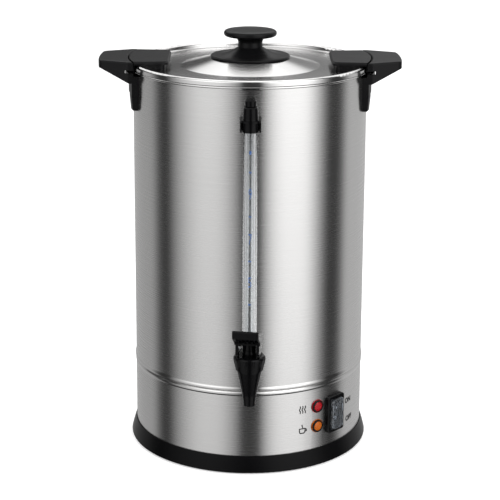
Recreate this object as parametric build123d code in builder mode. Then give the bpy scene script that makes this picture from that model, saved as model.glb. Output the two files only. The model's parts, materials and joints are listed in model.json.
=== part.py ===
from build123d import *
import os
from math import cos, radians, sin, sqrt

# Ten litre hot water urn. Millimetres, +Z up. The origin is on the urn's vertical axis at the
# height that it stands on. The tap points towards -Y and the handles along X.

# ---------------------------------------------------------------- sheets, fits and fasteners
body_radius = 122.0          # outside of the tank and the lower skirt
sheet = 0.8                  # stainless sheet of tank, skirt and lid
seam_fit = 0.05              # air between sheets that nest in the seam
body_gap = 0.3               # air between pieces of different bodies
fit_gap = 0.05               # air round a pin, screw or stem in its hole
hole_gap = 0.3               # air round a screw in an oversize hole
screw_radius = 2.0           # all M4 screws
screw_head_radius = 3.5
screw_head_height = 1.5
blade_width = 6.3            # flat terminals
blade_thickness = 0.8
blade_length = 8.0

# ---------------------------------------------------------------- base and skirt
base_flare = 5.5             # base ring's foot outside the wall
base_radius = body_radius + base_flare
base_height = 18.5           # base ring's upper edge on the skirt
base_lift = 1.2              # base ring's underside above the ground
foot_width = 6.0
foot_height = 3.0
foot_corner = 0.6
foot_radius = body_radius - 1.5    # middle of the rubber foot ring
skirt_foot = 6.0             # lower edge of the skirt inside the base ring
plate_thickness = 1.2        # bottom plate
plate_radius = body_radius - 6.4
plate_fit = 0.4              # air round the bottom plate
plate_level = 2.8            # underside of the bottom plate
plate_screw_circle = plate_radius - 4.6
plate_screw_length = 6.0     # thread above the plate
boss_radius = 4.5
boss_height = 8.0
vent_length = 26.0
vent_width = 4.0
vent_circle = plate_radius - 23.6
vent_count = 16
seam_height = 88.9           # groove between skirt and tank
seam_bead = 0.9              # how far the tank's lower bead stands proud
collar_height = 5.0          # skirt's upper edge inside the tank's foot

# ---------------------------------------------------------------- tank and heating
tank_floor = seam_height + 9.1     # top face of the tank's floor
tank_top = 404.6             # top of the rolled edge
curl_radius = 0.9            # middle of the sheet in the rolled edge
heat_plate_radius = body_radius - 34.0
heat_plate_thickness = 4.0
heat_plate_edge = 1.0
element_radius = 4.2         # heating tube
element_circle = heat_plate_radius - 20.0
element_sink = 1.5           # depth of the tube's groove in the heat plate
element_gap_angle = 30.0     # open part of the ring between the cold ends
cold_end_length = 22.0
thermostat_circle = 36.0
thermostat_angles = {"boil": 90, "keep_warm": 210, "cutout": 330}
thermostat_radius = 8.0
thermostat_height = 9.0
thermostat_flange = 1.2
thermostat_flange_width = 10.0
thermostat_screw_offset = 12.0
thermostat_screw_depth = 2.8       # thread in the heat plate
thermostat_blade_offset = 4.6
cutout_extra = 4.0           # the cut-out is this much taller than a thermostat
reset_travel = 1.5
reset_button_radius = 2.5
reset_button_length = 6.0
reset_bore_depth = 6.0
reset_hole_radius = 5.0
terminal_length = 34.0
terminal_width = 18.0
terminal_height = 13.0
terminal_pitch = 11.0
terminal_row = 9.0
terminal_screw_radius = 2.4
terminal_wire_radius = 2.2
terminal_wire_level = 4.5    # wire holes above the block's foot
terminal_y = body_radius - 44.0

# ---------------------------------------------------------------- cord gland
gland_height = 45.0
gland_bore = 3.75
gland_thread = 7.5
gland_flange = 11.0
gland_hex = 5.0
gland_cone = 7.0
gland_tail = 14.0            # thread inside the skirt
gland_nut_thickness = 5.0

# ---------------------------------------------------------------- lamps and switch
lamp_azimuth = 35.5          # degrees to the right of the tap
lamp_heights = {"red": 64.8, "amber": 43.1}
lamp_radius = 7.2            # flange of the lens
lamp_ring_radius = lamp_radius - 0.5
lamp_lens_radius = lamp_radius - 2.25
lamp_ring_round = 0.7
lamp_body_radius = 5.9
lamp_depth = 17.0
lamp_flange = 0.9            # thickness of the lens's flange
lamp_ring_top = 2.2          # front of the ring over the flange
lamp_blade_offset = 2.6
lamp_blade_width = 4.8
lamp_blade_length = 7.0
lens_rise = 0.7              # lens in front of its ring
lens_flat = 0.8              # radius of the flat on top of the lens
lens_seat = 1.2              # plug of the lens in its body

switch_azimuth = 46.7
switch_height = 52.0
switch_width = 25.5
switch_tall = 40.0
switch_proud = 4.2
switch_border = 3.0
switch_corner = 3.0
switch_depth = 24.0
switch_play = 0.4            # switch body in the frame's opening
switch_face = 0.6            # switch body in front of the wall
rocker_width = 14.4
rocker_play = 0.3            # air each side of the rocker
rocker_ear = 0.7             # wall that holds each rocker pin
rocker_length = 25.0
rocker_tilt = 10.0           # each way from level
rocker_pin = 1.2
rocker_pivot = 0.2           # axis of the rocker in front of the wall
rocker_well = 8.0
rocker_end = 3.4             # rocker's ends in front of its axis
rocker_waist = 1.9           # rocker's middle in front of its axis
rocker_keel = 3.6
boot_wall = 1.0
boot_rise = 7.3
boot_fit = 0.2
boot_corner = 4.0
boot_edge = 2.0
boot_taper = 4

# ---------------------------------------------------------------- lid
lid_rim_radius = body_radius + 1.5
lid_rim_top = tank_top + 5.9
lid_rim_width = 5.7
lid_annulus = tank_top + 0.9       # top face of the flat ring of the lid
lid_crown = lid_annulus + 7.9
lid_cone_foot = body_radius - 49.0
lid_cone_top_radius = 42.0
locating_depth = 9.0
locating_gap = 1.6           # locating ring to tank wall

disc_radius = lid_cone_top_radius - 0.7
disc_edge = 2.8
neck_radius = 13.0
neck_foot = lid_crown + 12.2
knob_radius = 27.6
knob_height = 16.8
knob_top = neck_foot + knob_height
knob_thickness = 6.6
knob_screw_radius = 2.5
knob_screw_depth = 10.0
knob_washer_radius = 7.0
knob_washer_thickness = 1.2
knob_screw_head_radius = 4.6
knob_screw_head_height = 2.2

# ---------------------------------------------------------------- handles and lid ears
handle_half_width = 42.9     # at the seam with the lid ears
handle_tip_half_width = 29.4
handle_reach = 35.5
handle_tip = body_radius + handle_reach
handle_top = lid_rim_top + 4.3
handle_wall = 3.4
handle_tip_depth = 8.2
handle_tip_under = 3.4       # rounding of the tip's lower edge
handle_root_depth = 22.2     # height of the cheeks at the tank wall
handle_seam_radius = body_radius + 4.9
handle_shoulder = 6.0        # straight end of each cheek at the seam
handle_tip_bulge = 2.0
handle_shoulder_round = 5.0
handle_tip_round = 7.0
handle_edge_round = 2.0
saddle_thickness = 4.8
saddle_root = 6.4            # thickness of the saddle's top, inside the wing
saddle_top = handle_top - 15.2
saddle_bottom = saddle_top - 20.6
leg_width = 9.0
leg_bottom = saddle_bottom - 15.6
leg_thickness = 6.4
leg_tip_thickness = 5.0
leg_tip_width = 5.6
leg_tip_inset = 0.5          # inner edge of each leg leans out by this much
slot_height = 3.6
slot_level = handle_top - 12.2
slot_radius = handle_seam_radius + 7.6
slot_inner_half = 26.0       # the slot is cut in each cheek, outside this half width
handle_screw_azimuth = 10.5  # each side of the handle's middle
handle_screw_level = saddle_top - 9.6
handle_screw_length = 3.8    # thread in the moulding

ear_gap = 1.2                # seam between lid ear and handle
ear_inner = body_radius - 38.4
ear_half_width = 41.3
ear_taper = 3.0              # the ear's inner end is this much narrower each side
ear_inner_round = 9.0
ear_plate = 3.6
ear_chamfer = 1.6
ear_overhang = 4.0
ear_outer_wall = 1.6
ear_screw_radius = body_radius - 22.0
ear_screw_spread = 24.0
ear_screw_length = 5.0
rim_clear = 0.1

# ---------------------------------------------------------------- tap
tap_reach = 42.0             # tap axis in front of the wall
tap_height = tank_floor + 20.0     # axis of the shank
shank_radius = 7.0
shank_bore = 4.5
barrel_radius = 8.6
tap_flange_radius = 13.0
tap_flange = 3.0
washer = 2.5
nut_flats = 24.0
nut_height = 6.0
shank_end = 3.0              # thread behind the nut
outlet_bore = 4.2
nozzle_level = tap_height - 26.2
nozzle_radius = 5.9
cone_foot = tap_height - 15.0
cone_foot_radius = 7.1
cone_top = tap_height + 10.0
cone_top_radius = 12.3
neck_step = 0.5              # cone's top below the bonnet
thread_radius = 11.1
thread_top = tap_height + 20.6
seat_level = tap_height - 5.0
seat_rise = 0.8              # raised lip that the seat cup closes on
seat_chamber_radius = 6.2
chamber_radius = 9.4
bonnet_foot = tap_height + 12.1
bonnet_top = bonnet_foot + 14.5
bonnet_foot_radius = 14.1
bonnet_shoulder_radius = 16.0
bonnet_roof_thickness = 3.6
bonnet_flutes = 12
flute_radius = 1.7
guide_radius = 7.4
guide_top = bonnet_top + 5.8
stem_radius = 3.0
stem_fit = 0.06
stem_lift = 3.2
stem_head_radius = 7.2
stem_head_gap = 0.4          # stem's head above the guide
pin_height = guide_top + 3.6
pin_radius = 1.5
stem_head_top = pin_height + 4.4
spring_seat_radius = 7.6
spring_seat_level = tap_height + 11.0
spring_seat_thickness = 1.8
spring_radius = 6.0
spring_wire = 0.6            # radius of the wire
spring_turns = 5
cup_wall = 1.2
lever_yaw = 10.0             # the lever is turned this far to the left
lever_tilt = 25.0
lever_half_width = 12.9
leg_inner = 9.2
leg_outer = 11.8
heel_radius = 6.0
heel_reach = 8.0
leg_back = 5.5               # back edge of the legs behind the pin, at its lower end
leg_back_height = 1.5
paddle_back = 6.5            # back edge of the paddle behind the pin
paddle_back_height = 9.6
paddle_reach = 24.0
paddle_rise = 22.6
nose_reach = 2.0             # nose in front of the paddle's upper edge
nose_drop = 1.2
nose_height = 6.8
lip_depth = 1.8
lip_drop = 1.2
throat_reach = 13.0          # underside of the paddle where it meets the legs
throat_height = 6.0
fork_length = 40.0           # clearance between and outside the legs
fork_height = 17.0
fork_offset = 4.0
nose_round = 2.0

# ---------------------------------------------------------------- water gauge
gauge_reach = 12.5           # tube axis in front of the wall
tube_radius = 7.3
tube_bore = 5.2
socket_radius = 9.8
socket_bore = 8.6
socket_top = tap_height + 20.0
socket_edge = 1.0
socket_floor = 0.4           # air under the tube in its socket
tube_foot = tap_height + 10.4
tube_top = tank_top - 32.4
seal_depth = 7.0
seal_lip = 1.2
bracket_half_width = 10.8
bracket_arm = 1.4
bracket_foot = tube_top - 9.6
bracket_shelf = tube_top + 2.6
bracket_shelf_thickness = 2.2
bracket_post_half_width = 6.4
bracket_post_proud = 4.4
bracket_post_round = 2.0
bracket_screw_level = bracket_shelf + 6.2
bracket_screw_depth = 3.2
post_above_screw = 7.0
cap_top = tube_top + 15.4
cap_foot_radius = 7.7
cap_top_radius = 7.2
vent_radius = 1.5
plug_radius = 5.7
plug_top = cap_top + 7.0
plug_stem = 5.0

# ---------------------------------------------------------------- derived places
sheet_middle = body_radius - sheet / 2
wall_inside = body_radius - sheet
collar_middle = sheet_middle - sheet - seam_fit
pan_middle = collar_middle - sheet - seam_fit
floor_under = tank_floor - sheet
opening_width = switch_width - 2 * switch_border
opening_tall = switch_tall - 2 * switch_border
heat_plate_under = floor_under - heat_plate_thickness
plate_top = plate_level + plate_thickness
tap_y = -(body_radius + tap_reach)
gauge_y = -(body_radius + gauge_reach)


def wall_plane(azimuth, height, radius=body_radius):
    """Plane on the upright cylinder: X to the right seen from outside, Y up, Z outwards."""
    angle = radians(azimuth)
    return Plane(
        origin=(radius * sin(angle), -radius * cos(angle), height),
        x_dir=(cos(angle), sin(angle), 0),
        z_dir=(sin(angle), -cos(angle), 0),
    )


def upright(x, y):
    """XZ profile plane whose local origin is the ground under the point x, y."""
    return Plane(origin=(x, y, 0), x_dir=(1, 0, 0), z_dir=(0, -1, 0))


def vertical_axis(x, y):
    return Axis((x, y, 0), (0, 0, 1))


# ================================================================ base
with BuildPart() as foot_ring:
    with BuildSketch(Plane.XZ):
        with Locations((foot_radius, foot_height / 2)):
            RectangleRounded(foot_width, foot_height, foot_corner)
    revolve()

# The base ring is a moulding with a flared apron, a channel for the skirt's lower edge, a
# groove for the foot ring and an inner ledge with bosses for the bottom plate.
apron_top_radius = body_radius + fit_gap
ledge_inner = plate_screw_circle - boss_radius - 0.5
rib_outer = body_radius - sheet - fit_gap
rib_inner = rib_outer - 3 * sheet
skirt_stop = base_height - 4.0

with BuildPart() as base_ring:
    with BuildSketch(Plane.XZ):
        with BuildLine():
            top = Line((apron_top_radius, base_height), (apron_top_radius + 0.9, base_height))
            apron = ThreePointArc(
                top @ 1,
                ((apron_top_radius + base_radius) / 2 + 1.0, base_height * 0.52),
                (base_radius, base_lift + 1.6),
            )
            toe = ThreePointArc(
                apron @ 1,
                (base_radius - 0.5, base_lift + 0.45),
                (base_radius - 1.6, base_lift),
            )
            Polyline(
                toe @ 1,
                (plate_radius + plate_fit, base_lift),
                (plate_radius + plate_fit, plate_top),
                (ledge_inner, plate_top),
                (ledge_inner, skirt_foot),
                (rib_inner, skirt_foot),
                (rib_inner, skirt_stop),
                (rib_outer, skirt_stop),
                (rib_outer, skirt_foot),
                (apron_top_radius, skirt_foot),
                top @ 0,
            )
        make_face()
        with Locations((foot_radius, foot_height / 2)):
            RectangleRounded(foot_width, foot_height, foot_corner, mode=Mode.SUBTRACT)
    revolve()
    with BuildSketch(Plane.XY.offset(plate_top)):
        with PolarLocations(plate_screw_circle, 4, start_angle=45):
            Circle(boss_radius)
    extrude(amount=boss_height)
    with BuildSketch(Plane.XY.offset(plate_top)):
        with PolarLocations(plate_screw_circle, 4, start_angle=45):
            Circle(screw_radius + fit_gap)
    extrude(amount=boss_height - 1.0, mode=Mode.SUBTRACT)

cutout_x = thermostat_circle * cos(radians(thermostat_angles["cutout"]))
cutout_y = thermostat_circle * sin(radians(thermostat_angles["cutout"]))

with BuildPart() as bottom_plate:
    with BuildSketch(Plane.XY.offset(plate_level)):
        Circle(plate_radius)
        with PolarLocations(plate_screw_circle, 4, start_angle=45):
            Circle(screw_radius + hole_gap, mode=Mode.SUBTRACT)
        with PolarLocations(vent_circle, vent_count, start_angle=180 / vent_count):
            SlotOverall(vent_length, vent_width, mode=Mode.SUBTRACT)
        with Locations((cutout_x, cutout_y)):
            Circle(reset_hole_radius, mode=Mode.SUBTRACT)
    extrude(amount=plate_thickness)

with BuildPart() as bottom_plate_screws:
    with BuildSketch(Plane.XY.offset(plate_level - screw_head_height)):
        with PolarLocations(plate_screw_circle, 4, start_angle=45):
            Circle(screw_head_radius)
    extrude(amount=screw_head_height)
    with BuildSketch(Plane.XY.offset(plate_level)):
        with PolarLocations(plate_screw_circle, 4, start_angle=45):
            Circle(screw_radius)
    extrude(amount=plate_thickness + plate_screw_length)

# ================================================================ skirt and tank
with BuildPart() as lower_skirt:
    with BuildSketch(Plane.XZ):
        with BuildLine():
            FilletPolyline(
                (sheet_middle, skirt_foot),
                (sheet_middle, seam_height - 4.8),
                (sheet_middle + 0.5, seam_height - 3.2),
                (sheet_middle + 0.5, seam_height - 1.9),
                (collar_middle, seam_height - 0.2),
                (collar_middle, seam_height + collar_height),
                radius=0.7,
            )
        trace(line_width=sheet)
    revolve()
    for lamp_height in lamp_heights.values():
        with BuildSketch(wall_plane(lamp_azimuth, lamp_height)):
            Circle(lamp_body_radius + fit_gap)
        extrude(amount=6.0, both=True, mode=Mode.SUBTRACT)
    with BuildSketch(wall_plane(switch_azimuth, switch_height)):
        Rectangle(opening_width + switch_play, opening_tall + switch_play)
    extrude(amount=6.0, both=True, mode=Mode.SUBTRACT)
    with BuildSketch(wall_plane(180, gland_height)):
        Circle(gland_thread + fit_gap)
    extrude(amount=6.0, both=True, mode=Mode.SUBTRACT)

curl_level = tank_top - sheet / 2 - curl_radius

with BuildPart() as tank_shell:
    with BuildSketch(Plane.XZ):
        with BuildLine():
            wall = FilletPolyline(
                (sheet_middle, seam_height + 0.3),
                (sheet_middle + seam_bead, seam_height + 1.6),
                (sheet_middle + seam_bead, seam_height + 2.9),
                (sheet_middle, seam_height + 4.6),
                (sheet_middle, curl_level),
                radius=0.7,
            )
            CenterArc((sheet_middle + curl_radius, curl_level), curl_radius, 180, -240)
        trace(line_width=sheet)
    revolve()
    with BuildSketch(wall_plane(0, tap_height)):
        Circle(shank_radius + fit_gap)
    extrude(amount=8.0, both=True, mode=Mode.SUBTRACT)
    with BuildSketch(wall_plane(0, bracket_screw_level)):
        Circle(screw_radius + fit_gap)
    extrude(amount=6.0, both=True, mode=Mode.SUBTRACT)
    for side in (90, 270):
        for offset_angle in (-handle_screw_azimuth, handle_screw_azimuth):
            with BuildSketch(wall_plane(side + offset_angle, handle_screw_level)):
                Circle(screw_radius + fit_gap)
            extrude(amount=6.0, both=True, mode=Mode.SUBTRACT)

with BuildPart() as tank_bottom:
    with BuildSketch(Plane.XZ):
        with BuildLine():
            FilletPolyline(
                (0, tank_floor - sheet / 2),
                (pan_middle, tank_floor - sheet / 2),
                (pan_middle, seam_height - 4.0),
                radius=5.0,
            )
        trace(line_width=sheet)
    revolve()

# ================================================================ heating
element_level = heat_plate_under + element_sink - element_radius
screw_pair = [(thermostat_circle, side * thermostat_screw_offset) for side in (-1, 1)]

with BuildPart() as heat_plate:
    with BuildSketch(Plane.XY.offset(heat_plate_under)):
        Circle(heat_plate_radius)
    extrude(amount=heat_plate_thickness)
    fillet(heat_plate.edges().group_by(Axis.Z)[0], heat_plate_edge)
    with BuildSketch(Plane.XZ):
        with Locations((element_circle, element_level)):
            Circle(element_radius + fit_gap)
    revolve(mode=Mode.SUBTRACT)
    with BuildSketch(Plane.XY.offset(heat_plate_under)):
        for angle in thermostat_angles.values():
            with Locations(Location((0, 0, 0), (0, 0, angle))):
                with Locations(*screw_pair):
                    Circle(screw_radius + fit_gap)
    extrude(amount=thermostat_screw_depth + 0.2, mode=Mode.SUBTRACT)

# The tube runs round under the heat plate and turns down at both ends.
with BuildPart() as heating_element:
    half_gap = element_gap_angle / 2
    with BuildLine(Plane.XY.offset(element_level)) as element_route:
        ring = CenterArc((0, 0), element_circle, 90 + half_gap, 360 - element_gap_angle)
    with BuildSketch(Plane(ring @ 0, z_dir=ring % 0)):
        Circle(element_radius)
    sweep(path=element_route.line)
    cold_ends = [((ring @ end).X, (ring @ end).Y) for end in (0, 1)]
    with Locations(ring @ 0, ring @ 1):
        Sphere(element_radius)
    with BuildSketch(Plane.XY.offset(element_level)):
        with Locations(*cold_ends):
            Circle(element_radius)
    extrude(amount=-cold_end_length)
    with BuildSketch(Plane.XY.offset(element_level - cold_end_length)):
        with Locations(*cold_ends):
            Rectangle(blade_thickness, blade_width)
    extrude(amount=-blade_length)


def disc_thermostat(angle, height):
    """Thermostat under the heat plate: flange, round body and two blade terminals."""
    seat = Plane(
        origin=(
            thermostat_circle * cos(radians(angle)),
            thermostat_circle * sin(radians(angle)),
            heat_plate_under,
        ),
        x_dir=(-sin(radians(angle)), cos(radians(angle)), 0),
        z_dir=(0, 0, -1),
    )
    with BuildPart() as thermostat:
        with BuildSketch(seat):
            SlotOverall(2 * thermostat_screw_offset + thermostat_flange_width, thermostat_flange_width)
            Circle(thermostat_radius)
            with Locations((-thermostat_screw_offset, 0), (thermostat_screw_offset, 0)):
                Circle(screw_radius + hole_gap, mode=Mode.SUBTRACT)
        extrude(amount=thermostat_flange)
        with BuildSketch(seat):
            Circle(thermostat_radius)
        extrude(amount=height)
        fillet(thermostat.faces().sort_by(Axis.Z)[0].edges(), 0.8)
        with BuildSketch(seat.offset(height)):
            with Locations((-thermostat_blade_offset, 0), (thermostat_blade_offset, 0)):
                Rectangle(blade_thickness, blade_width)
        extrude(amount=blade_length)
    return thermostat, seat


thermostat_boil, _ = disc_thermostat(thermostat_angles["boil"], thermostat_height)
thermostat_keep_warm, _ = disc_thermostat(thermostat_angles["keep_warm"], thermostat_height)

# The cut-out's reset button slides in a bore between its terminals.
cutout_height = thermostat_height + cutout_extra
cutout_blank, cutout_seat = disc_thermostat(thermostat_angles["cutout"], cutout_height)
with BuildPart() as thermal_cutout:
    add(cutout_blank.part)
    with BuildSketch(cutout_seat.offset(cutout_height - reset_bore_depth)):
        Circle(reset_button_radius + fit_gap)
    extrude(amount=reset_bore_depth, mode=Mode.SUBTRACT)

with BuildPart() as reset_button:
    with BuildSketch(cutout_seat.offset(cutout_height - reset_bore_depth + reset_travel + 0.5)):
        Circle(reset_button_radius)
    extrude(amount=reset_button_length)
    fillet(reset_button.edges().group_by(Axis.Z)[0], 0.8)

with BuildPart() as thermostat_screws:
    for angle in thermostat_angles.values():
        with BuildSketch(Plane.XY.offset(heat_plate_under - thermostat_flange)):
            with Locations(Location((0, 0, 0), (0, 0, angle))):
                with Locations(*screw_pair):
                    Circle(screw_head_radius - 0.5)
        extrude(amount=-screw_head_height)
        with BuildSketch(Plane.XY.offset(heat_plate_under - thermostat_flange)):
            with Locations(Location((0, 0, 0), (0, 0, angle))):
                with Locations(*screw_pair):
                    Circle(screw_radius)
        extrude(amount=thermostat_flange + thermostat_screw_depth)

with BuildPart() as terminal_block:
    with BuildSketch(Plane.XY.offset(plate_top)):
        with Locations((0, terminal_y)):
            RectangleRounded(terminal_length, terminal_width, 2.0)
    extrude(amount=terminal_height)
    with BuildSketch(Plane.XY.offset(plate_top + terminal_height)):
        with GridLocations(terminal_pitch, terminal_row, 3, 2):
            with Locations((0, terminal_y)):
                Circle(terminal_screw_radius)
    extrude(amount=-terminal_height / 2, mode=Mode.SUBTRACT)
    with BuildSketch(Plane.XZ.offset(-terminal_y)):
        with Locations(*[(row * terminal_pitch, plate_top + terminal_wire_level) for row in (-1, 0, 1)]):
            Circle(terminal_wire_radius)
    extrude(amount=terminal_width, both=True, mode=Mode.SUBTRACT)

# ================================================================ cord gland
gland = wall_plane(180, gland_height)
with BuildPart() as cord_gland:
    with BuildSketch(gland):
        RegularPolygon(gland_flange, 6)
    extrude(amount=gland_hex)
    with BuildSketch(gland.offset(gland_hex)):
        Circle(gland_flange - 2.0)
    extrude(amount=gland_cone, taper=14)
    with BuildSketch(gland):
        Circle(gland_thread)
    extrude(amount=-gland_tail)
    with BuildSketch(gland):
        Circle(gland_bore)
    extrude(amount=gland_tail + 2.0, both=True, mode=Mode.SUBTRACT)

with BuildPart() as gland_nut:
    with BuildSketch(gland.offset(-sheet - 0.6)):
        RegularPolygon(gland_flange, 6)
        Circle(gland_thread + fit_gap, mode=Mode.SUBTRACT)
    extrude(amount=-gland_nut_thickness)


# ================================================================ controls on the skirt
def indicator(height):
    """Body, lens and black ring of one indicator lamp."""
    seat = wall_plane(lamp_azimuth, height)
    with BuildPart() as lamp_body:
        with BuildSketch(seat):
            Circle(lamp_body_radius)
        extrude(amount=-lamp_depth)
        with BuildSketch(seat.offset(-lamp_depth)):
            with Locations((0, -lamp_blade_offset), (0, lamp_blade_offset)):
                Rectangle(lamp_blade_width, blade_thickness)
        extrude(amount=-lamp_blade_length)
        with BuildSketch(seat):
            Circle(lamp_lens_radius + fit_gap)
        extrude(amount=-lens_seat - fit_gap, mode=Mode.SUBTRACT)
    with BuildPart() as lamp_lens:
        with BuildSketch(Plane(seat.origin, x_dir=seat.x_dir, z_dir=-seat.y_dir)):
            with BuildLine():
                side = Polyline(
                    (0, -lens_seat),
                    (lamp_lens_radius, -lens_seat),
                    (lamp_lens_radius, 0),
                    (lamp_radius, 0),
                    (lamp_radius, lamp_flange),
                    (lamp_lens_radius, lamp_flange),
                    (lamp_lens_radius, lamp_ring_top - 0.3),
                )
                dome = ThreePointArc(
                    side @ 1,
                    (lamp_lens_radius * 0.7, lamp_ring_top + lens_rise * 0.72),
                    (lens_flat, lamp_ring_top + lens_rise),
                )
                Polyline(dome @ 1, (0, lamp_ring_top + lens_rise), side @ 0)
            make_face()
        revolve(axis=Axis(seat.origin, seat.z_dir))
    with BuildPart() as lamp_ring:
        with BuildSketch(seat.offset(lamp_flange)):
            Circle(lamp_ring_radius)
            Circle(lamp_lens_radius + fit_gap, mode=Mode.SUBTRACT)
        extrude(amount=lamp_ring_top - lamp_flange)
        front = lamp_ring.faces().sort_by(Axis(seat.origin, seat.z_dir))[-1]
        fillet(front.outer_wire().edges(), lamp_ring_round)
    return lamp_body, lamp_lens, lamp_ring


lamp_red_body, lamp_red_lens, lamp_red_ring = indicator(lamp_heights["red"])
lamp_amber_body, lamp_amber_lens, lamp_amber_ring = indicator(lamp_heights["amber"])

switch = wall_plane(switch_azimuth, switch_height)
rocker_side = Plane(switch.offset(rocker_pivot).origin, x_dir=switch.y_dir, z_dir=switch.x_dir)

with BuildPart() as switch_frame:
    with BuildSketch(switch.offset(-1.5)):
        RectangleRounded(switch_width, switch_tall, switch_corner)
        RectangleRounded(opening_width, opening_tall, 1.2, mode=Mode.SUBTRACT)
    extrude(amount=switch_proud + 1.5)
    Cylinder(body_radius + fit_gap, 400.0, mode=Mode.SUBTRACT)
    front = switch_frame.faces().sort_by(Axis(switch.origin, switch.z_dir))[-1]
    fillet(front.outer_wire().edges(), 1.2)

with BuildPart() as switch_body:
    with BuildSketch(switch.offset(-switch_depth)):
        RectangleRounded(opening_width - switch_play, opening_tall - switch_play, 1.2)
    extrude(amount=switch_depth + switch_face)
    with BuildSketch(switch.offset(switch_face)):
        Rectangle(rocker_width + 2 * rocker_play, rocker_length + 3.0)
    extrude(amount=-rocker_well - switch_face, mode=Mode.SUBTRACT)
    with BuildSketch(rocker_side):
        with BuildLine():
            Polyline((-3.0, 0.6), (-3.0, -3.0), (3.0, -3.0), (3.0, 0.6))
            ThreePointArc((3.0, 0.6), (0, 2.6), (-3.0, 0.6))
        make_face()
    extrude(amount=rocker_width / 2 + rocker_play + rocker_ear, both=True)
    with BuildSketch(rocker_side):
        Rectangle(8.0, 16.0)
    extrude(amount=rocker_width / 2 + rocker_play, both=True, mode=Mode.SUBTRACT)
    with BuildSketch(rocker_side):
        Circle(rocker_pin + fit_gap)
    extrude(amount=rocker_width / 2 + rocker_play + rocker_ear, both=True, mode=Mode.SUBTRACT)
    with BuildSketch(switch.offset(-switch_depth)):
        with GridLocations(9.0, 11.0, 2, 2):
            Rectangle(blade_thickness, blade_width)
    extrude(amount=-blade_length)

# The rocker rests with its lower half pressed in, which is off.
half_length = rocker_length / 2
rest_angle = radians(rocker_tilt)
rocker_rest = Plane(
    rocker_side.origin,
    x_dir=switch.y_dir * cos(rest_angle) + switch.z_dir * sin(rest_angle),
    z_dir=switch.x_dir,
)
with BuildPart() as switch_rocker:
    with BuildSketch(rocker_rest):
        with BuildLine():
            ThreePointArc((-half_length, rocker_end), (0, rocker_waist), (half_length, rocker_end))
            Polyline(
                (half_length, rocker_end),
                (half_length, 0.4),
                (3.0, -rocker_keel),
                (-3.0, -rocker_keel),
                (-half_length, 0.4),
                (-half_length, rocker_end),
            )
        make_face()
    extrude(amount=rocker_width / 2, both=True)
    with BuildSketch(rocker_side):
        Circle(rocker_pin)
    extrude(amount=rocker_width / 2 + rocker_play + rocker_ear - 0.1, both=True)

# Clear boot: a domed cover that stands on the switch body inside the frame.
boot_seat = switch_face + fit_gap
boot_width = opening_width - boot_fit
boot_tall = opening_tall - boot_fit
with BuildPart() as switch_boot:
    with BuildSketch(switch.offset(boot_seat)):
        RectangleRounded(boot_width, boot_tall, boot_corner)
    extrude(amount=boot_rise - boot_seat, taper=boot_taper)
    fillet(switch_boot.faces().sort_by(Axis(switch.origin, switch.z_dir))[-1].edges(), boot_edge)
    with BuildSketch(switch.offset(boot_seat)):
        Rectangle(boot_width - 2 * boot_wall, boot_tall - 2 * boot_wall)
    extrude(amount=boot_rise - boot_seat - boot_wall, taper=boot_taper, mode=Mode.SUBTRACT)

# ================================================================ handles
# A handle is one moulding: a hollow wing with a top plate, two cheeks and a tip, an inner
# wall along the seam with the lid ear, and a saddle with two legs on the tank wall.
wing_floor = handle_top - handle_root_depth
tip_floor = handle_top - handle_tip_depth
saddle_inner = body_radius + fit_gap


def sector(inner, outer, half_width):
    """Ring sector along +X between two radii, cut off at plus and minus half_width in Y."""
    Circle(outer)
    Circle(inner, mode=Mode.SUBTRACT)
    with Locations((outer, 0)):
        Rectangle(2 * outer, 2 * half_width, mode=Mode.INTERSECT)


# The saddle is thin below the wing, and each leg narrows and thins towards its round end.
with BuildPart() as handle_saddle:
    with BuildSketch(Plane.XZ):
        Polygon(
            (saddle_inner, saddle_bottom),
            (saddle_inner + saddle_thickness - 0.6, saddle_bottom),
            (saddle_inner + saddle_thickness, saddle_bottom + 1.0),
            (saddle_inner + saddle_thickness, wing_floor),
            (saddle_inner + saddle_root, wing_floor + 2.0),
            (saddle_inner + saddle_root, saddle_top),
            (saddle_inner, saddle_top),
            align=None,
        )
    revolve()
    with BuildSketch(Plane.YZ):
        with Locations((0, (saddle_bottom + saddle_top) / 2)):
            Rectangle(2 * handle_half_width, saddle_top - saddle_bottom)
    extrude(amount=handle_tip, mode=Mode.INTERSECT)

leg_inner_edge = handle_half_width - leg_width
leg_tip_inner = leg_inner_edge + leg_tip_inset
with BuildPart() as handle_legs:
    with BuildSketch(Plane.XZ) as leg_section:
        Polygon(
            (saddle_inner, leg_bottom),
            (saddle_inner + leg_tip_thickness, leg_bottom),
            (saddle_inner + leg_thickness, saddle_bottom),
            (saddle_inner + leg_thickness, saddle_top),
            (saddle_inner, saddle_top),
            align=None,
        )
        fillet(leg_section.vertices().group_by(Axis.Y)[0].sort_by(Axis.X)[-1], leg_tip_width / 2)
    revolve()
    with BuildSketch(Plane.YZ) as leg_outline:
        for side in (-1, 1):
            Polygon(
                (side * leg_inner_edge, saddle_top),
                (side * leg_inner_edge, saddle_bottom),
                (side * leg_tip_inner, leg_bottom),
                (side * (leg_tip_inner + leg_tip_width), leg_bottom),
                (side * handle_half_width, saddle_bottom + leg_width / 2),
                (side * handle_half_width, saddle_top),
                align=None,
            )
        fillet(leg_outline.vertices().group_by(Axis.Y)[0], leg_tip_width / 2 - 0.2)
    extrude(amount=handle_tip, mode=Mode.INTERSECT)

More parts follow.
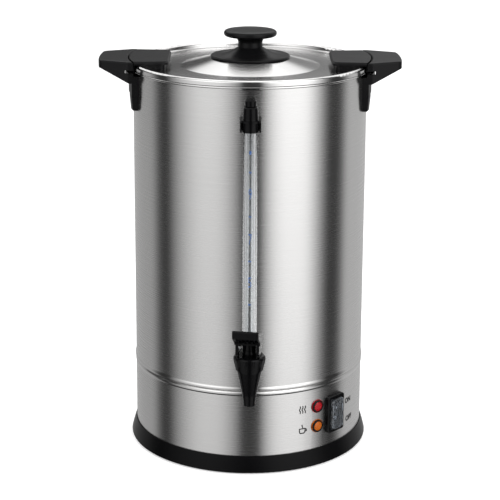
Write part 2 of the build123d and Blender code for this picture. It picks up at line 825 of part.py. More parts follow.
with BuildPart() as handle_right:
    with BuildSketch(Plane.XY.offset(wing_floor)) as wing_plan:
        seam_end = sqrt(handle_seam_radius**2 - handle_half_width**2)
        shoulder_x = seam_end + handle_shoulder
        with BuildLine():
            seam = ThreePointArc(
                (seam_end, -handle_half_width),
                (handle_seam_radius, 0),
                (seam_end, handle_half_width),
            )
            Line(seam @ 1, (shoulder_x, handle_half_width))
            Line((shoulder_x, handle_half_width), (handle_tip - handle_tip_bulge, handle_tip_half_width))
            ThreePointArc(
                (handle_tip - handle_tip_bulge, handle_tip_half_width),
                (handle_tip, 0),
                (handle_tip - handle_tip_bulge, -handle_tip_half_width),
            )
            Line((handle_tip - handle_tip_bulge, -handle_tip_half_width), (shoulder_x, -handle_half_width))
            Line((shoulder_x, -handle_half_width), seam @ 0)
        make_face()
        fillet(wing_plan.vertices().group_by(Axis.X)[-2], handle_shoulder_round)
        fillet(wing_plan.vertices().group_by(Axis.X)[-1], handle_tip_round)
    extrude(amount=handle_root_depth)
    with BuildSketch(Plane.XZ):
        with BuildLine():
            Polyline(
                (body_radius - 8.0, wing_floor - 1.0),
                (body_radius + 2.0, wing_floor),
                (handle_tip - handle_tip_under, tip_floor),
            )
            under = RadiusArc(
                (handle_tip - handle_tip_under, tip_floor),
                (handle_tip, tip_floor + handle_tip_under),
                -handle_tip_under,
            )
            Polyline(
                under @ 1,
                (handle_tip + 5.0, tip_floor + handle_tip_under),
                (handle_tip + 5.0, wing_floor - 5.0),
                (body_radius - 8.0, wing_floor - 5.0),
                (body_radius - 8.0, wing_floor - 1.0),
            )
        make_face()
    extrude(amount=handle_half_width + 5.0, both=True, mode=Mode.SUBTRACT)
    top_edges = handle_right.faces().sort_by(Axis.Z)[-1].outer_wire().edges()
    fillet(top_edges.sort_by(Axis.X)[1:], handle_edge_round)
    with BuildSketch(Plane.XY.offset(wing_floor - 5.0)):
        add(wing_plan.sketch.moved(Location((0, 0, -wing_floor))))
        offset(amount=-handle_wall, mode=Mode.REPLACE)
    extrude(amount=handle_root_depth + 5.0 - handle_wall, mode=Mode.SUBTRACT)
    add(handle_saddle.part)
    add(handle_legs.part)
    with BuildSketch(Plane.XY.offset(slot_level)):
        sector(handle_seam_radius - 8.0, slot_radius, handle_half_width + 1.0)
        with Locations((slot_radius, 0)):
            Rectangle(60.0, 2 * slot_inner_half, mode=Mode.SUBTRACT)
    extrude(amount=slot_height, mode=Mode.SUBTRACT)
    for side in (-1, 1):
        with BuildSketch(wall_plane(90 + side * handle_screw_azimuth, handle_screw_level)):
            Circle(screw_radius)
        extrude(amount=handle_screw_length + fit_gap, mode=Mode.SUBTRACT)

with BuildPart() as handle_left:
    mirror(handle_right.part, about=Plane.YZ)

# Screws from inside the tank, two in each handle.
with BuildPart() as handle_screws:
    for side in (90, 270):
        for offset_angle in (-handle_screw_azimuth, handle_screw_azimuth):
            seat = wall_plane(side + offset_angle, handle_screw_level, wall_inside - 0.6)
            with BuildSketch(seat):
                Circle(screw_radius)
            extrude(amount=sheet + 0.6 + handle_screw_length - 0.5)
            with BuildSketch(seat):
                Circle(screw_head_radius)
            extrude(amount=-screw_head_height)

# ================================================================ lid
rim_middle = lid_rim_radius - sheet / 2
rim_inner = rim_middle - lid_rim_width + sheet
annulus_middle = lid_annulus - sheet / 2
crown_middle = lid_crown - sheet / 2
rim_foot = tank_top + body_gap


def lid_route():
    """Middle of the lid's sheet from the foot of the rolled rim to the axis."""
    FilletPolyline(
        (rim_middle, rim_foot),
        (rim_middle, lid_rim_top - sheet / 2),
        (rim_inner, lid_rim_top - sheet / 2),
        (rim_inner, annulus_middle),
        (lid_cone_foot, annulus_middle),
        (lid_cone_top_radius, crown_middle),
        (0, crown_middle),
        radius=(2.1, 2.1, 2.0, 4.0, 6.0),
    )


with BuildPart() as lid_shell:
    with BuildSketch(Plane.XZ):
        with BuildLine():
            lid_route()
        trace(line_width=sheet)
    revolve()
    with BuildSketch(Plane.XY.offset(lid_annulus)):
        Circle(knob_screw_radius + 0.2)
        with GridLocations(2 * ear_screw_radius, 2 * ear_screw_spread, 2, 2):
            Circle(screw_radius + fit_gap)
    extrude(amount=12.0, both=True, mode=Mode.SUBTRACT)

# Ring under the lid that drops inside the tank and centres it.
locating_middle = wall_inside - locating_gap - sheet / 2
annulus_under = lid_annulus - sheet
with BuildPart() as lid_locating_ring:
    with BuildSketch(Plane.XZ):
        with BuildLine():
            FilletPolyline(
                (rim_inner - 6.0, annulus_under - sheet / 2),
                (locating_middle, annulus_under - sheet / 2),
                (locating_middle, annulus_under - locating_depth),
                radius=1.5,
            )
        trace(line_width=sheet)
    revolve()

with BuildPart() as knob_flange:
    with BuildSketch(Plane.XZ):
        with BuildLine():
            foot = Polyline(
                (knob_screw_radius + 0.2, neck_foot),
                (knob_screw_radius + 0.2, lid_crown),
                (disc_radius - 1.0, lid_crown),
                (disc_radius, lid_crown + 1.0),
                (disc_radius, lid_crown + disc_edge - 0.8),
            )
            rim = RadiusArc(foot @ 1, (disc_radius - 0.8, lid_crown + disc_edge), 0.8)
            rise = ThreePointArc(
                rim @ 1,
                (neck_radius + 8.5, lid_crown + disc_edge + 3.4),
                (neck_radius, neck_foot - 1.2),
            )
            Polyline(rise @ 1, (neck_radius, neck_foot), foot @ 0)
        make_face()
    revolve()

with BuildPart() as lid_knob:
    with BuildSketch(Plane.XZ):
        with BuildLine():
            stem = Line((0, neck_foot), (neck_radius, neck_foot))
            side = Line(stem @ 1, (neck_radius - 0.4, neck_foot + 4.0))
            under = ThreePointArc(
                side @ 1,
                (neck_radius + 2.2, knob_top - knob_thickness - 1.6),
                (knob_radius - 3.0, knob_top - knob_thickness),
            )
            rim = ThreePointArc(
                under @ 1,
                (knob_radius, knob_top - knob_thickness * 0.55),
                (knob_radius - 2.6, knob_top - 0.3),
            )
            dish = ThreePointArc(rim @ 1, (knob_radius - 6.0, knob_top), (knob_radius - 9.0, knob_top - 0.5))
            Polyline(dish @ 1, (0, knob_top - 1.2), (0, neck_foot))
        make_face()
    revolve()
    with BuildSketch(Plane.XY.offset(neck_foot)):
        Circle(knob_screw_radius)
    extrude(amount=knob_screw_depth, mode=Mode.SUBTRACT)

crown_under = lid_crown - sheet
with BuildPart() as knob_screw:
    with BuildSketch(Plane.XY.offset(crown_under)):
        Circle(knob_screw_radius)
    extrude(amount=neck_foot - crown_under + knob_screw_depth - 1.0)
    with BuildSketch(Plane.XY.offset(crown_under)):
        Circle(knob_washer_radius)
    extrude(amount=-knob_washer_thickness)
    with BuildSketch(Plane.XY.offset(crown_under - knob_washer_thickness)):
        Circle(knob_screw_head_radius)
    extrude(amount=-knob_screw_head_height)

# A lid ear has a top plate level with its handle and a lower block that stands on the lid's
# flat ring, arches over the rim and comes down outside it.
ear_outer = handle_seam_radius - ear_gap
plate_under = handle_top - ear_plate

with BuildPart() as lid_ear_right:
    with BuildSketch(Plane.XY.offset(plate_under)) as ear_plan:
        ear_end = sqrt(ear_outer**2 - ear_half_width**2)
        with BuildLine():
            outer = ThreePointArc((ear_end, -ear_half_width), (ear_outer, 0), (ear_end, ear_half_width))
            Polyline(
                outer @ 1,
                (ear_inner, ear_half_width - ear_taper),
                (ear_inner, -ear_half_width + ear_taper),
                outer @ 0,
            )
        make_face()
        fillet(ear_plan.vertices().group_by(Axis.X)[0], ear_inner_round)
    extrude(amount=ear_plate)
    top_edges = lid_ear_right.faces().sort_by(Axis.Z)[-1].edges().sort_by(Axis.X)[:-1]
    chamfer(top_edges, ear_chamfer)
    with BuildSketch(Plane.XY.offset(lid_annulus)):
        add(ear_plan.sketch.moved(Location((0, 0, -plate_under))))
        offset(amount=-ear_overhang, mode=Mode.REPLACE)
        add(ear_plan.sketch.moved(Location((ear_overhang, 0, -plate_under))), mode=Mode.INTERSECT)
    extrude(amount=plate_under - lid_annulus)
    with BuildSketch(Plane.XY.offset(rim_foot)):
        sector(ear_outer - ear_outer_wall, ear_outer, ear_half_width - ear_overhang)
    extrude(amount=plate_under - rim_foot)
    with BuildSketch(Plane.XZ):
        with BuildLine():
            lid_route()
        trace(line_width=sheet + 2 * rim_clear)
        with Locations(((rim_inner + rim_middle) / 2, (rim_foot + lid_rim_top) / 2 - 1.0)):
            Rectangle(lid_rim_width + 2 * rim_clear, lid_rim_top - rim_foot + 2.0 + 2 * rim_clear)
    revolve(mode=Mode.SUBTRACT)
    with BuildSketch(Plane.XY.offset(lid_annulus)):
        with Locations((ear_screw_radius, -ear_screw_spread), (ear_screw_radius, ear_screw_spread)):
            Circle(screw_radius)
    extrude(amount=ear_screw_length + 0.5, mode=Mode.SUBTRACT)

with BuildPart() as lid_ear_left:
    mirror(lid_ear_right.part, about=Plane.YZ)

with BuildPart() as lid_ear_screws:
    for side in (-1, 1):
        for spread in (-ear_screw_spread, ear_screw_spread):
            with BuildSketch(Plane.XY.offset(annulus_under)):
                with Locations((side * ear_screw_radius, spread)):
                    Circle(screw_radius)
            extrude(amount=sheet + ear_screw_length)
            with BuildSketch(Plane.XY.offset(annulus_under)):
                with Locations((side * ear_screw_radius, spread)):
                    Circle(screw_head_radius)
            extrude(amount=-screw_head_height)

# ================================================================ tap
# Body: one moulding of the upright valve chamber and nozzle, the barrel, the flange and shank
# through the wall, and the socket for the sight tube.
inner_end = wall_inside - washer - nut_height - shank_end
flange_back = body_radius + washer
tap_upright = upright(0, tap_y)

with BuildPart() as tap_body:
    with BuildSketch(tap_upright):
        with BuildLine():
            Polyline(
                (0, nozzle_level),
                (nozzle_radius, nozzle_level),
                (cone_foot_radius, cone_foot),
                (cone_top_radius, cone_top),
                (cone_top_radius, bonnet_foot - neck_step),
                (thread_radius, bonnet_foot - neck_step),
                (thread_radius, thread_top),
                (0, thread_top),
                close=True,
            )
        make_face()
    revolve(axis=vertical_axis(0, tap_y))
    with BuildSketch(Plane.XZ.offset(inner_end)):
        with Locations((0, tap_height)):
            Circle(shank_radius)
    extrude(amount=flange_back - inner_end + 0.5)
    with BuildSketch(Plane.XZ.offset(flange_back)):
        with Locations((0, tap_height)):
            Circle(tap_flange_radius)
    extrude(amount=tap_flange)
    with BuildSketch(Plane.XZ.offset(flange_back)):
        with Locations((0, tap_height)):
            Circle(barrel_radius)
    extrude(amount=body_radius + tap_reach - flange_back)
    with BuildSketch(Plane.XY.offset(tap_height)):
        with Locations((0, gauge_y)):
            Circle(socket_radius)
    extrude(amount=socket_top - tap_height)
    fillet(tap_body.faces().filter_by(Axis.Z).sort_by(Axis.Z)[-2].outer_wire().edges(), socket_edge)
    with BuildSketch(tap_upright):
        with BuildLine():
            Polyline(
                (0, nozzle_level - 1.0),
                (outlet_bore, nozzle_level - 1.0),
                (outlet_bore, seat_level + seat_rise),
                (outlet_bore + 0.8, seat_level + seat_rise),
                (outlet_bore + 0.8, seat_level),
                (seat_chamber_radius, seat_level),
                (chamber_radius, cone_top),
                (chamber_radius, thread_top + 1.0),
                (0, thread_top + 1.0),
                close=True,
            )
        make_face()
    revolve(axis=vertical_axis(0, tap_y), mode=Mode.SUBTRACT)
    with BuildSketch(Plane.XZ.offset(inner_end - 1.0)):
        with Locations((0, tap_height)):
            Circle(shank_bore)
    extrude(amount=-tap_y - inner_end + 1.0, mode=Mode.SUBTRACT)
    with BuildSketch(Plane.XY.offset(tube_foot - socket_floor)):
        with Locations((0, gauge_y)):
            Circle(socket_bore)
    extrude(amount=20.0, mode=Mode.SUBTRACT)
    with BuildSketch(Plane.XY.offset(tap_height)):
        with Locations((0, gauge_y)):
            Circle(tube_bore - 1.2)
    extrude(amount=20.0, mode=Mode.SUBTRACT)

with BuildPart() as tap_washer_outer:
    with BuildSketch(Plane.XZ.offset(body_radius - 2.0)):
        with Locations((0, tap_height)):
            Circle(tap_flange_radius)
            Circle(shank_radius + fit_gap, mode=Mode.SUBTRACT)
    extrude(amount=washer + 2.0)
    with BuildSketch(Plane.XY):
        Circle(body_radius + fit_gap)
    extrude(amount=tank_top, mode=Mode.SUBTRACT)

with BuildPart() as tap_washer_inner:
    with BuildSketch(Plane.XZ.offset(wall_inside - washer)):
        with Locations((0, tap_height)):
            Circle(tap_flange_radius)
            Circle(shank_radius + fit_gap, mode=Mode.SUBTRACT)
    extrude(amount=washer)
    with BuildSketch(Plane.XY):
        Circle(wall_inside - fit_gap)
    extrude(amount=tank_top, mode=Mode.INTERSECT)

with BuildPart() as tap_nut:
    with BuildSketch(Plane.XZ.offset(wall_inside - washer)):
        with Locations((0, tap_height)):
            RegularPolygon(nut_flats / 2, 6, major_radius=False)
            Circle(shank_radius + fit_gap, mode=Mode.SUBTRACT)
    extrude(amount=-nut_height)

bonnet_roof = bonnet_top - bonnet_roof_thickness
stem_hole = stem_radius + stem_fit
with BuildPart() as tap_bonnet:
    with BuildSketch(tap_upright):
        with BuildLine():
            skirt = Line((bonnet_foot_radius, bonnet_foot), (bonnet_shoulder_radius, bonnet_top - 3.4))
            ThreePointArc(
                skirt @ 1,
                (bonnet_shoulder_radius - 0.7, bonnet_top - 1.2),
                (bonnet_shoulder_radius - 3.0, bonnet_top),
            )
            Polyline(
                (bonnet_shoulder_radius - 3.0, bonnet_top),
                (guide_radius, bonnet_top),
                (guide_radius, guide_top),
                (stem_hole, guide_top),
                (stem_hole, bonnet_roof),
                (chamber_radius, bonnet_roof),
                (chamber_radius, thread_top + fit_gap),
                (thread_radius + fit_gap, thread_top + fit_gap),
                (thread_radius + fit_gap, bonnet_foot),
                skirt @ 0,
            )
        make_face()
    revolve(axis=vertical_axis(0, tap_y))
    with BuildSketch(Plane.XY.offset(bonnet_foot)):
        with Locations((0, tap_y)):
            with PolarLocations(bonnet_shoulder_radius + 0.6, bonnet_flutes, start_angle=15):
                Circle(flute_radius)
    extrude(amount=bonnet_top - bonnet_foot - 2.4, mode=Mode.SUBTRACT)

with BuildPart() as tap_spring:
    spring_foot = spring_seat_level + spring_seat_thickness + spring_wire
    spring_height = bonnet_roof - spring_foot - spring_wire - 0.1
    with BuildLine():
        coil = Helix(
            spring_height / spring_turns,
            spring_height,
            spring_radius,
            center=(0, tap_y, spring_foot + 0.05),
        )
    with BuildSketch(Plane(coil @ 0, z_dir=coil % 0)):
        Circle(spring_wire)
    sweep(path=coil, is_frenet=True)

cup_foot = seat_level + seat_rise + body_gap
with BuildPart() as tap_stem:
    with BuildSketch(tap_upright):
        with BuildLine():
            Polyline(
                (0, cup_foot + 2.0),
                (stem_radius, cup_foot + 2.0),
                (stem_radius, spring_seat_level),
                (spring_seat_radius, spring_seat_level),
                (spring_seat_radius, spring_seat_level + spring_seat_thickness),
                (stem_radius, spring_seat_level + spring_seat_thickness),
                (stem_radius, guide_top + stem_head_gap),
                (stem_head_radius, guide_top + stem_head_gap),
                (stem_head_radius, stem_head_top - 2.0),
            )
            ThreePointArc(
                (stem_head_radius, stem_head_top - 2.0),
                (stem_head_radius - 0.6, stem_head_top - 0.6),
                (stem_head_radius - 2.0, stem_head_top),
            )
            Polyline((stem_head_radius - 2.0, stem_head_top), (0, stem_head_top), (0, cup_foot + 2.0))
        make_face()
    revolve(axis=vertical_axis(0, tap_y))
    lever_angle = radians(lever_yaw)
    lever_side = Plane(
        origin=(0, tap_y, pin_height),
        x_dir=(-sin(lever_angle), -cos(lever_angle), 0),
        z_dir=(-cos(lever_angle), sin(lever_angle), 0),
    )
    with BuildSketch(lever_side):
        Circle(pin_radius + fit_gap)
    extrude(amount=10.0, both=True, mode=Mode.SUBTRACT)

cup_top = spring_seat_level - 1.5
with BuildPart() as tap_seat_cup:
    with BuildSketch(tap_upright):
        with BuildLine():
            Polyline(
                (0, cup_foot),
                (outlet_bore + 1.0, cup_foot),
                (seat_chamber_radius - 0.4, cup_foot + 3.0),
                (chamber_radius - 1.0, cup_top),
                (chamber_radius - 1.0 - cup_wall, cup_top),
                (seat_chamber_radius - 1.8, cup_foot + 6.0),
                (stem_radius, cup_foot + 6.0),
                (stem_radius, cup_foot + 2.0),
                (0, cup_foot + 2.0),
                close=True,
            )
        make_face()
    revolve(axis=vertical_axis(0, tap_y))

# The lever is a fork on a pin through the stem. Its heels bear on the bonnet, so pulling the
# paddle forwards lifts the stem. Side profile: X is forwards, Y is up, from the pin.
heel_drop = pin_height - bonnet_top - body_gap - heel_radius
head_clear = sqrt(stem_head_radius**2 + (stem_head_top - pin_height)**2) + stem_head_gap
nose_x = paddle_reach + nose_reach
nose_z = paddle_rise - nose_drop

with BuildPart() as tap_lever:
    with BuildSketch(lever_side):
        with BuildLine():
            heel = ThreePointArc(
                (heel_reach + heel_radius, -heel_drop),
                (heel_reach, -heel_drop - heel_radius),
                (heel_reach - heel_radius, -heel_drop),
            )
            Polyline(
                heel @ 1,
                (-leg_back, leg_back_height),
                (-paddle_back, paddle_back_height),
                (paddle_reach, paddle_rise),
                (nose_x, nose_z),
                (nose_x - 0.6, nose_z - nose_height),
                (nose_x - 0.6 - lip_depth, nose_z - nose_height - lip_drop),
                (throat_reach, throat_height),
                heel @ 0,
            )
        make_face()
    extrude(amount=lever_half_width, both=True)
    with BuildSketch(lever_side):
        Circle(head_clear)
        with Locations((fork_offset, -fork_offset)):
            Rectangle(fork_length, fork_height)
    extrude(amount=leg_inner, both=True, mode=Mode.SUBTRACT)
    for side in (-1, 1):
        with BuildSketch(lever_side.offset(side * leg_outer)):
            with Locations((fork_offset, -fork_offset)):
                Rectangle(fork_length, fork_height)
        extrude(amount=side * lever_half_width, mode=Mode.SUBTRACT)
    with BuildSketch(lever_side):
        Circle(pin_radius)
    extrude(amount=lever_half_width, both=True, mode=Mode.SUBTRACT)
    fillet(tap_lever.edges().filter_by(GeomType.LINE).filter_by(
        lambda edge: edge.center().Y < tap_y - paddle_reach and abs(edge.tangent_at(0).Z) > 0.5), nose_round)

with BuildPart() as tap_lever_pin:
    with BuildSketch(lever_side):
        Circle(pin_radius)
    extrude(amount=leg_outer, both=True)

# ================================================================ water gauge
gauge_upright = upright(0, gauge_y)
with BuildPart() as gauge_tube:
    with BuildSketch(Plane.XY.offset(tube_foot)):
        with Locations((0, gauge_y)):
            Circle(tube_radius)
            Circle(tube_bore, mode=Mode.SUBTRACT)
    extrude(amount=tube_top - tube_foot)

with BuildPart() as gauge_seal:
    with BuildSketch(gauge_upright):
        with BuildLine():
            Polyline(
                (tube_radius + fit_gap, socket_top - seal_depth),
                (socket_bore - fit_gap, socket_top - seal_depth),
                (socket_bore - fit_gap, socket_top + fit_gap),
                (socket_bore + seal_lip, socket_top + fit_gap),
                (socket_bore + seal_lip - 0.4, socket_top + seal_lip),
                (tube_radius + fit_gap, socket_top + seal_lip),
                close=True,
            )
        make_face()
    revolve(axis=vertical_axis(0, gauge_y))

shelf_under = bracket_shelf - bracket_shelf_thickness
post_top = bracket_screw_level + post_above_screw
with BuildPart() as gauge_bracket:
    with BuildSketch(Plane.XZ.offset(body_radius - 2.0)):
        with Locations((0, (bracket_foot + bracket_shelf) / 2)):
            Rectangle(2 * bracket_half_width, bracket_shelf - bracket_foot)
        with Locations((0, (bracket_foot + post_top) / 2)):
            RectangleRounded(
                2 * bracket_post_half_width, post_top - bracket_foot, bracket_post_round)
    extrude(amount=bracket_post_proud + 2.0)
    with BuildSketch(Plane.XY.offset(shelf_under)):
        with Locations((0, gauge_y)):
            Circle(bracket_half_width)
        with Locations((0, (gauge_y - body_radius) / 2)):
            Rectangle(2 * bracket_half_width, gauge_reach)
    extrude(amount=bracket_shelf_thickness)
    with BuildSketch(Plane.XY.offset(bracket_foot)):
        with Locations((0, gauge_y)):
            Circle(bracket_half_width)
            Circle(bracket_half_width - bracket_arm, mode=Mode.SUBTRACT)
            with Locations((0, -bracket_half_width)):
                Rectangle(30.0, 14.0, mode=Mode.SUBTRACT)
    extrude(amount=shelf_under - bracket_foot)
    with BuildSketch(Plane.XY.offset(bracket_foot)):
        Circle(body_radius + fit_gap)
    extrude(amount=60.0, mode=Mode.SUBTRACT)
    with BuildSketch(Plane.XY.offset(bracket_foot - 1.0)):
        with Locations((0, gauge_y)):
            Circle(cap_foot_radius + 0.5)
    extrude(amount=60.0, mode=Mode.SUBTRACT)
    with BuildSketch(Plane.XZ.offset(body_radius)):
        with Locations((0, bracket_screw_level)):
            Circle(screw_radius)
    extrude(amount=bracket_screw_depth + 0.4, mode=Mode.SUBTRACT)

with BuildPart() as gauge_bracket_screw:
    with BuildSketch(Plane.XZ.offset(wall_inside - 0.2)):
        with Locations((0, bracket_screw_level)):
            Circle(screw_radius)
    extrude(amount=sheet + 0.2 + bracket_screw_depth)
    with BuildSketch(Plane.XZ.offset(wall_inside - 0.2)):
        with Locations((0, bracket_screw_level)):
            Circle(screw_head_radius)
    extrude(amount=-screw_head_height)

# The cap is a sleeve over the tube's upper end with a vent bore through its top.
with BuildPart() as gauge_cap:
    with BuildSketch(gauge_upright):
        with BuildLine():
            Polyline(
                (cap_foot_radius + 0.45, bracket_foot),
                (cap_foot_radius + 0.35, bracket_shelf),
                (cap_top_radius + 0.6, bracket_shelf + 1.0),
                (cap_top_radius, cap_top - 1.0),
                (cap_top_radius - 1.0, cap_top),
                (vent_radius, cap_top),
                (vent_radius, tube_top + 0.2),
                (tube_radius + fit_gap, tube_top + 0.2),
                (tube_radius + fit_gap, bracket_foot),
                close=True,
            )
        make_face()
    revolve(axis=vertical_axis(0, gauge_y))

with BuildPart() as gauge_vent_plug:
    with BuildSketch(gauge_upright):
        with BuildLine():
            Polyline(
                (0, cap_top - plug_stem),
                (vent_radius - fit_gap, cap_top - plug_stem),
                (vent_radius - fit_gap, cap_top),
                (plug_radius - 0.8, cap_top),
                (plug_radius, cap_top + 0.8),
                (plug_radius, plug_top - 1.0),
                (plug_radius - 1.0, plug_top),
                (0, plug_top),
                close=True,
            )
        make_face()
    revolve(axis=vertical_axis(0, gauge_y))

# ================================================================ files
pieces = {
    "foot_ring": foot_ring,
    "base_ring": base_ring,
    "bottom_plate": bottom_plate,
    "bottom_plate_screws": bottom_plate_screws,
    "lower_skirt": lower_skirt,
    "tank_shell": tank_shell,
    "tank_bottom": tank_bottom,
    "heat_plate": heat_plate,
    "heating_element": heating_element,
    "thermostat_boil": thermostat_boil,
    "thermostat_keep_warm": thermostat_keep_warm,
    "thermal_cutout": thermal_cutout,
    "reset_button": reset_button,
    "thermostat_screws": thermostat_screws,
    "terminal_block": terminal_block,
    "cord_gland": cord_gland,
    "gland_nut": gland_nut,
    "lamp_red_body": lamp_red_body,
    "lamp_red_lens": lamp_red_lens,
    "lamp_red_ring": lamp_red_ring,
    "lamp_amber_body": lamp_amber_body,
    "lamp_amber_lens": lamp_amber_lens,
    "lamp_amber_ring": lamp_amber_ring,
    "switch_frame": switch_frame,
    "switch_body": switch_body,
    "switch_rocker": switch_rocker,
    "switch_boot": switch_boot,
    "handle_left": handle_left,
    "handle_right": handle_right,
    "handle_screws": handle_screws,
    "gauge_tube": gauge_tube,
    "gauge_seal": gauge_seal,
    "gauge_bracket": gauge_bracket,
    "gauge_bracket_screw": gauge_bracket_screw,
    "gauge_cap": gauge_cap,
    "gauge_vent_plug": gauge_vent_plug,
    "tap_body": tap_body,
    "tap_washer_outer": tap_washer_outer,
    "tap_washer_inner": tap_washer_inner,
    "tap_nut": tap_nut,
    "tap_bonnet": tap_bonnet,
    "tap_spring": tap_spring,
    "tap_stem": tap_stem,
    "tap_seat_cup": tap_seat_cup,
    "tap_lever": tap_lever,
    "tap_lever_pin": tap_lever_pin,
    "lid_shell": lid_shell,
    "lid_locating_ring": lid_locating_ring,
    "knob_flange": knob_flange,
    "lid_knob": lid_knob,
    "knob_screw": knob_screw,
    "lid_ear_left": lid_ear_left,
    "lid_ear_right": lid_ear_right,
    "lid_ear_screws": lid_ear_screws,
}

os.makedirs("parts", exist_ok=True)
for name, piece in pieces.items():
    piece.part.label = name
    export_step(piece.part, f"parts/{name}.step")
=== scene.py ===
"""Finishes, printed marks and studio of the hot water urn, an add-on that is run as a script.

Metres, +Z up. The urn's axis is the Z axis, the tap points towards -Y and the handles along X.
"""
import bpy
import json
from math import cos, degrees, radians, sin
from mathutils import Matrix, Vector


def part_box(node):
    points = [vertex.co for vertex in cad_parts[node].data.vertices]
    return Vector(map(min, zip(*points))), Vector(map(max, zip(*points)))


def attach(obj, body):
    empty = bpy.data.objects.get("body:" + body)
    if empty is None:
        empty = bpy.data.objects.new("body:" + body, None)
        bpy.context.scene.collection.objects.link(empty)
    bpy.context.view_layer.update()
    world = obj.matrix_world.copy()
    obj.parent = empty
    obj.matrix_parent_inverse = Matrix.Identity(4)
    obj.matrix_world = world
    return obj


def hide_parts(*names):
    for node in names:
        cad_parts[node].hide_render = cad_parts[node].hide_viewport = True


bl_info = {
    "name": "Hot Water Urn Finishes",
    "version": (1, 0, 0),
    "blender": (4, 5, 0),
    "location": "3D View > Sidebar > Urn",
    "description": "Gives the urn its steel, plastic and clear parts, its marks and a small studio",
    "category": "Object",
}

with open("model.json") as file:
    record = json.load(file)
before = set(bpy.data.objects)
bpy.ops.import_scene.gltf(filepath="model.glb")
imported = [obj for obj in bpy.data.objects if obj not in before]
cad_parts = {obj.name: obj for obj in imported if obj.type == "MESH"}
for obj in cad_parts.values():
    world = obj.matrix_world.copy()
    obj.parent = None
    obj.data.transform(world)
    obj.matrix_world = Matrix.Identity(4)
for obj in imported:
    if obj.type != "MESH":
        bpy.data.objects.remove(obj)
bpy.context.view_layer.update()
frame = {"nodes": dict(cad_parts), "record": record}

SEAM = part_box("tank_shell")[0].z                    # groove between the tank and the skirt
TANK_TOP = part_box("tank_shell")[1].z
WALL_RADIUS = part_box("tank_shell")[1].x - 0.0018    # tank wall, inside its rolled edge
LID_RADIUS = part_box("lid_shell")[1].x
SEAM_BEAD = (0.0048, 0.006)                         # half height of the rolled seam, and its end
TANK_ROLL = (0.0042, 0.003)                         # rolled edge's start and end below TANK_TOP
LID_ROLL = (0.0065, 0.0055)                         # rolled rim's start and end inside LID_RADIUS
WELD_REACH = 0.0007                                 # half width of the tank's rear weld
HEAT_REACH = 0.0026                                 # half width of the colour beside the weld
LAMP_AZIMUTH = 35.5                                 # degrees from the front, where the lamps face
PRINT_DEPTH = 0.00006                               # thickness of printed ink
CAPITAL_SHARE = 0.7                                 # height of a capital in the font's own size


# ---------------------------------------------------------------- node trees
# a Mix node repeats its sockets' names for each kind of data, so its colour sockets go by number
MIX_AMOUNT, MIX_LOW, MIX_HIGH, MIX_RESULT = 0, 6, 7, 2


class Wire:
    """An output socket, with Python's operators adding Math nodes."""

    def __init__(self, tree, socket):
        self.tree = tree
        self.socket = socket

    def math(self, operation, *values):
        """A Math node of the values, of which this wire is usually the first."""
        node = self.tree.nodes.new("ShaderNodeMath")
        node.operation = operation
        for slot, value in zip(node.inputs, values):
            plug(self.tree, slot, value)
        return Wire(self.tree, node.outputs[0])

    def __add__(self, other):
        return self.math("ADD", self, other)

    __radd__ = __add__

    def __sub__(self, other):
        return self.math("SUBTRACT", self, other)

    def __rsub__(self, other):
        return self.math("SUBTRACT", other, self)

    def __mul__(self, other):
        return self.math("MULTIPLY", self, other)

    __rmul__ = __mul__

    def __gt__(self, other):
        return self.math("GREATER_THAN", self, other)

    def __lt__(self, other):
        return self.math("LESS_THAN", self, other)

    def size(self):
        return self.math("ABSOLUTE", self)

    def root(self):
        return self.math("SQRT", self)

    def sine(self):
        return self.math("SINE", self)

    def power(self, exponent):
        return self.math("POWER", self, exponent)

    def between(self, low, high):
        """The value held between low and high."""
        raised = self.math("MAXIMUM", self, low)
        return raised.math("MINIMUM", raised, high)


def plug(tree, socket, value):
    """Links a wire to a socket, or sets the socket's own value."""
    if isinstance(value, Wire):
        tree.links.new(value.socket, socket)
    else:
        socket.default_value = value


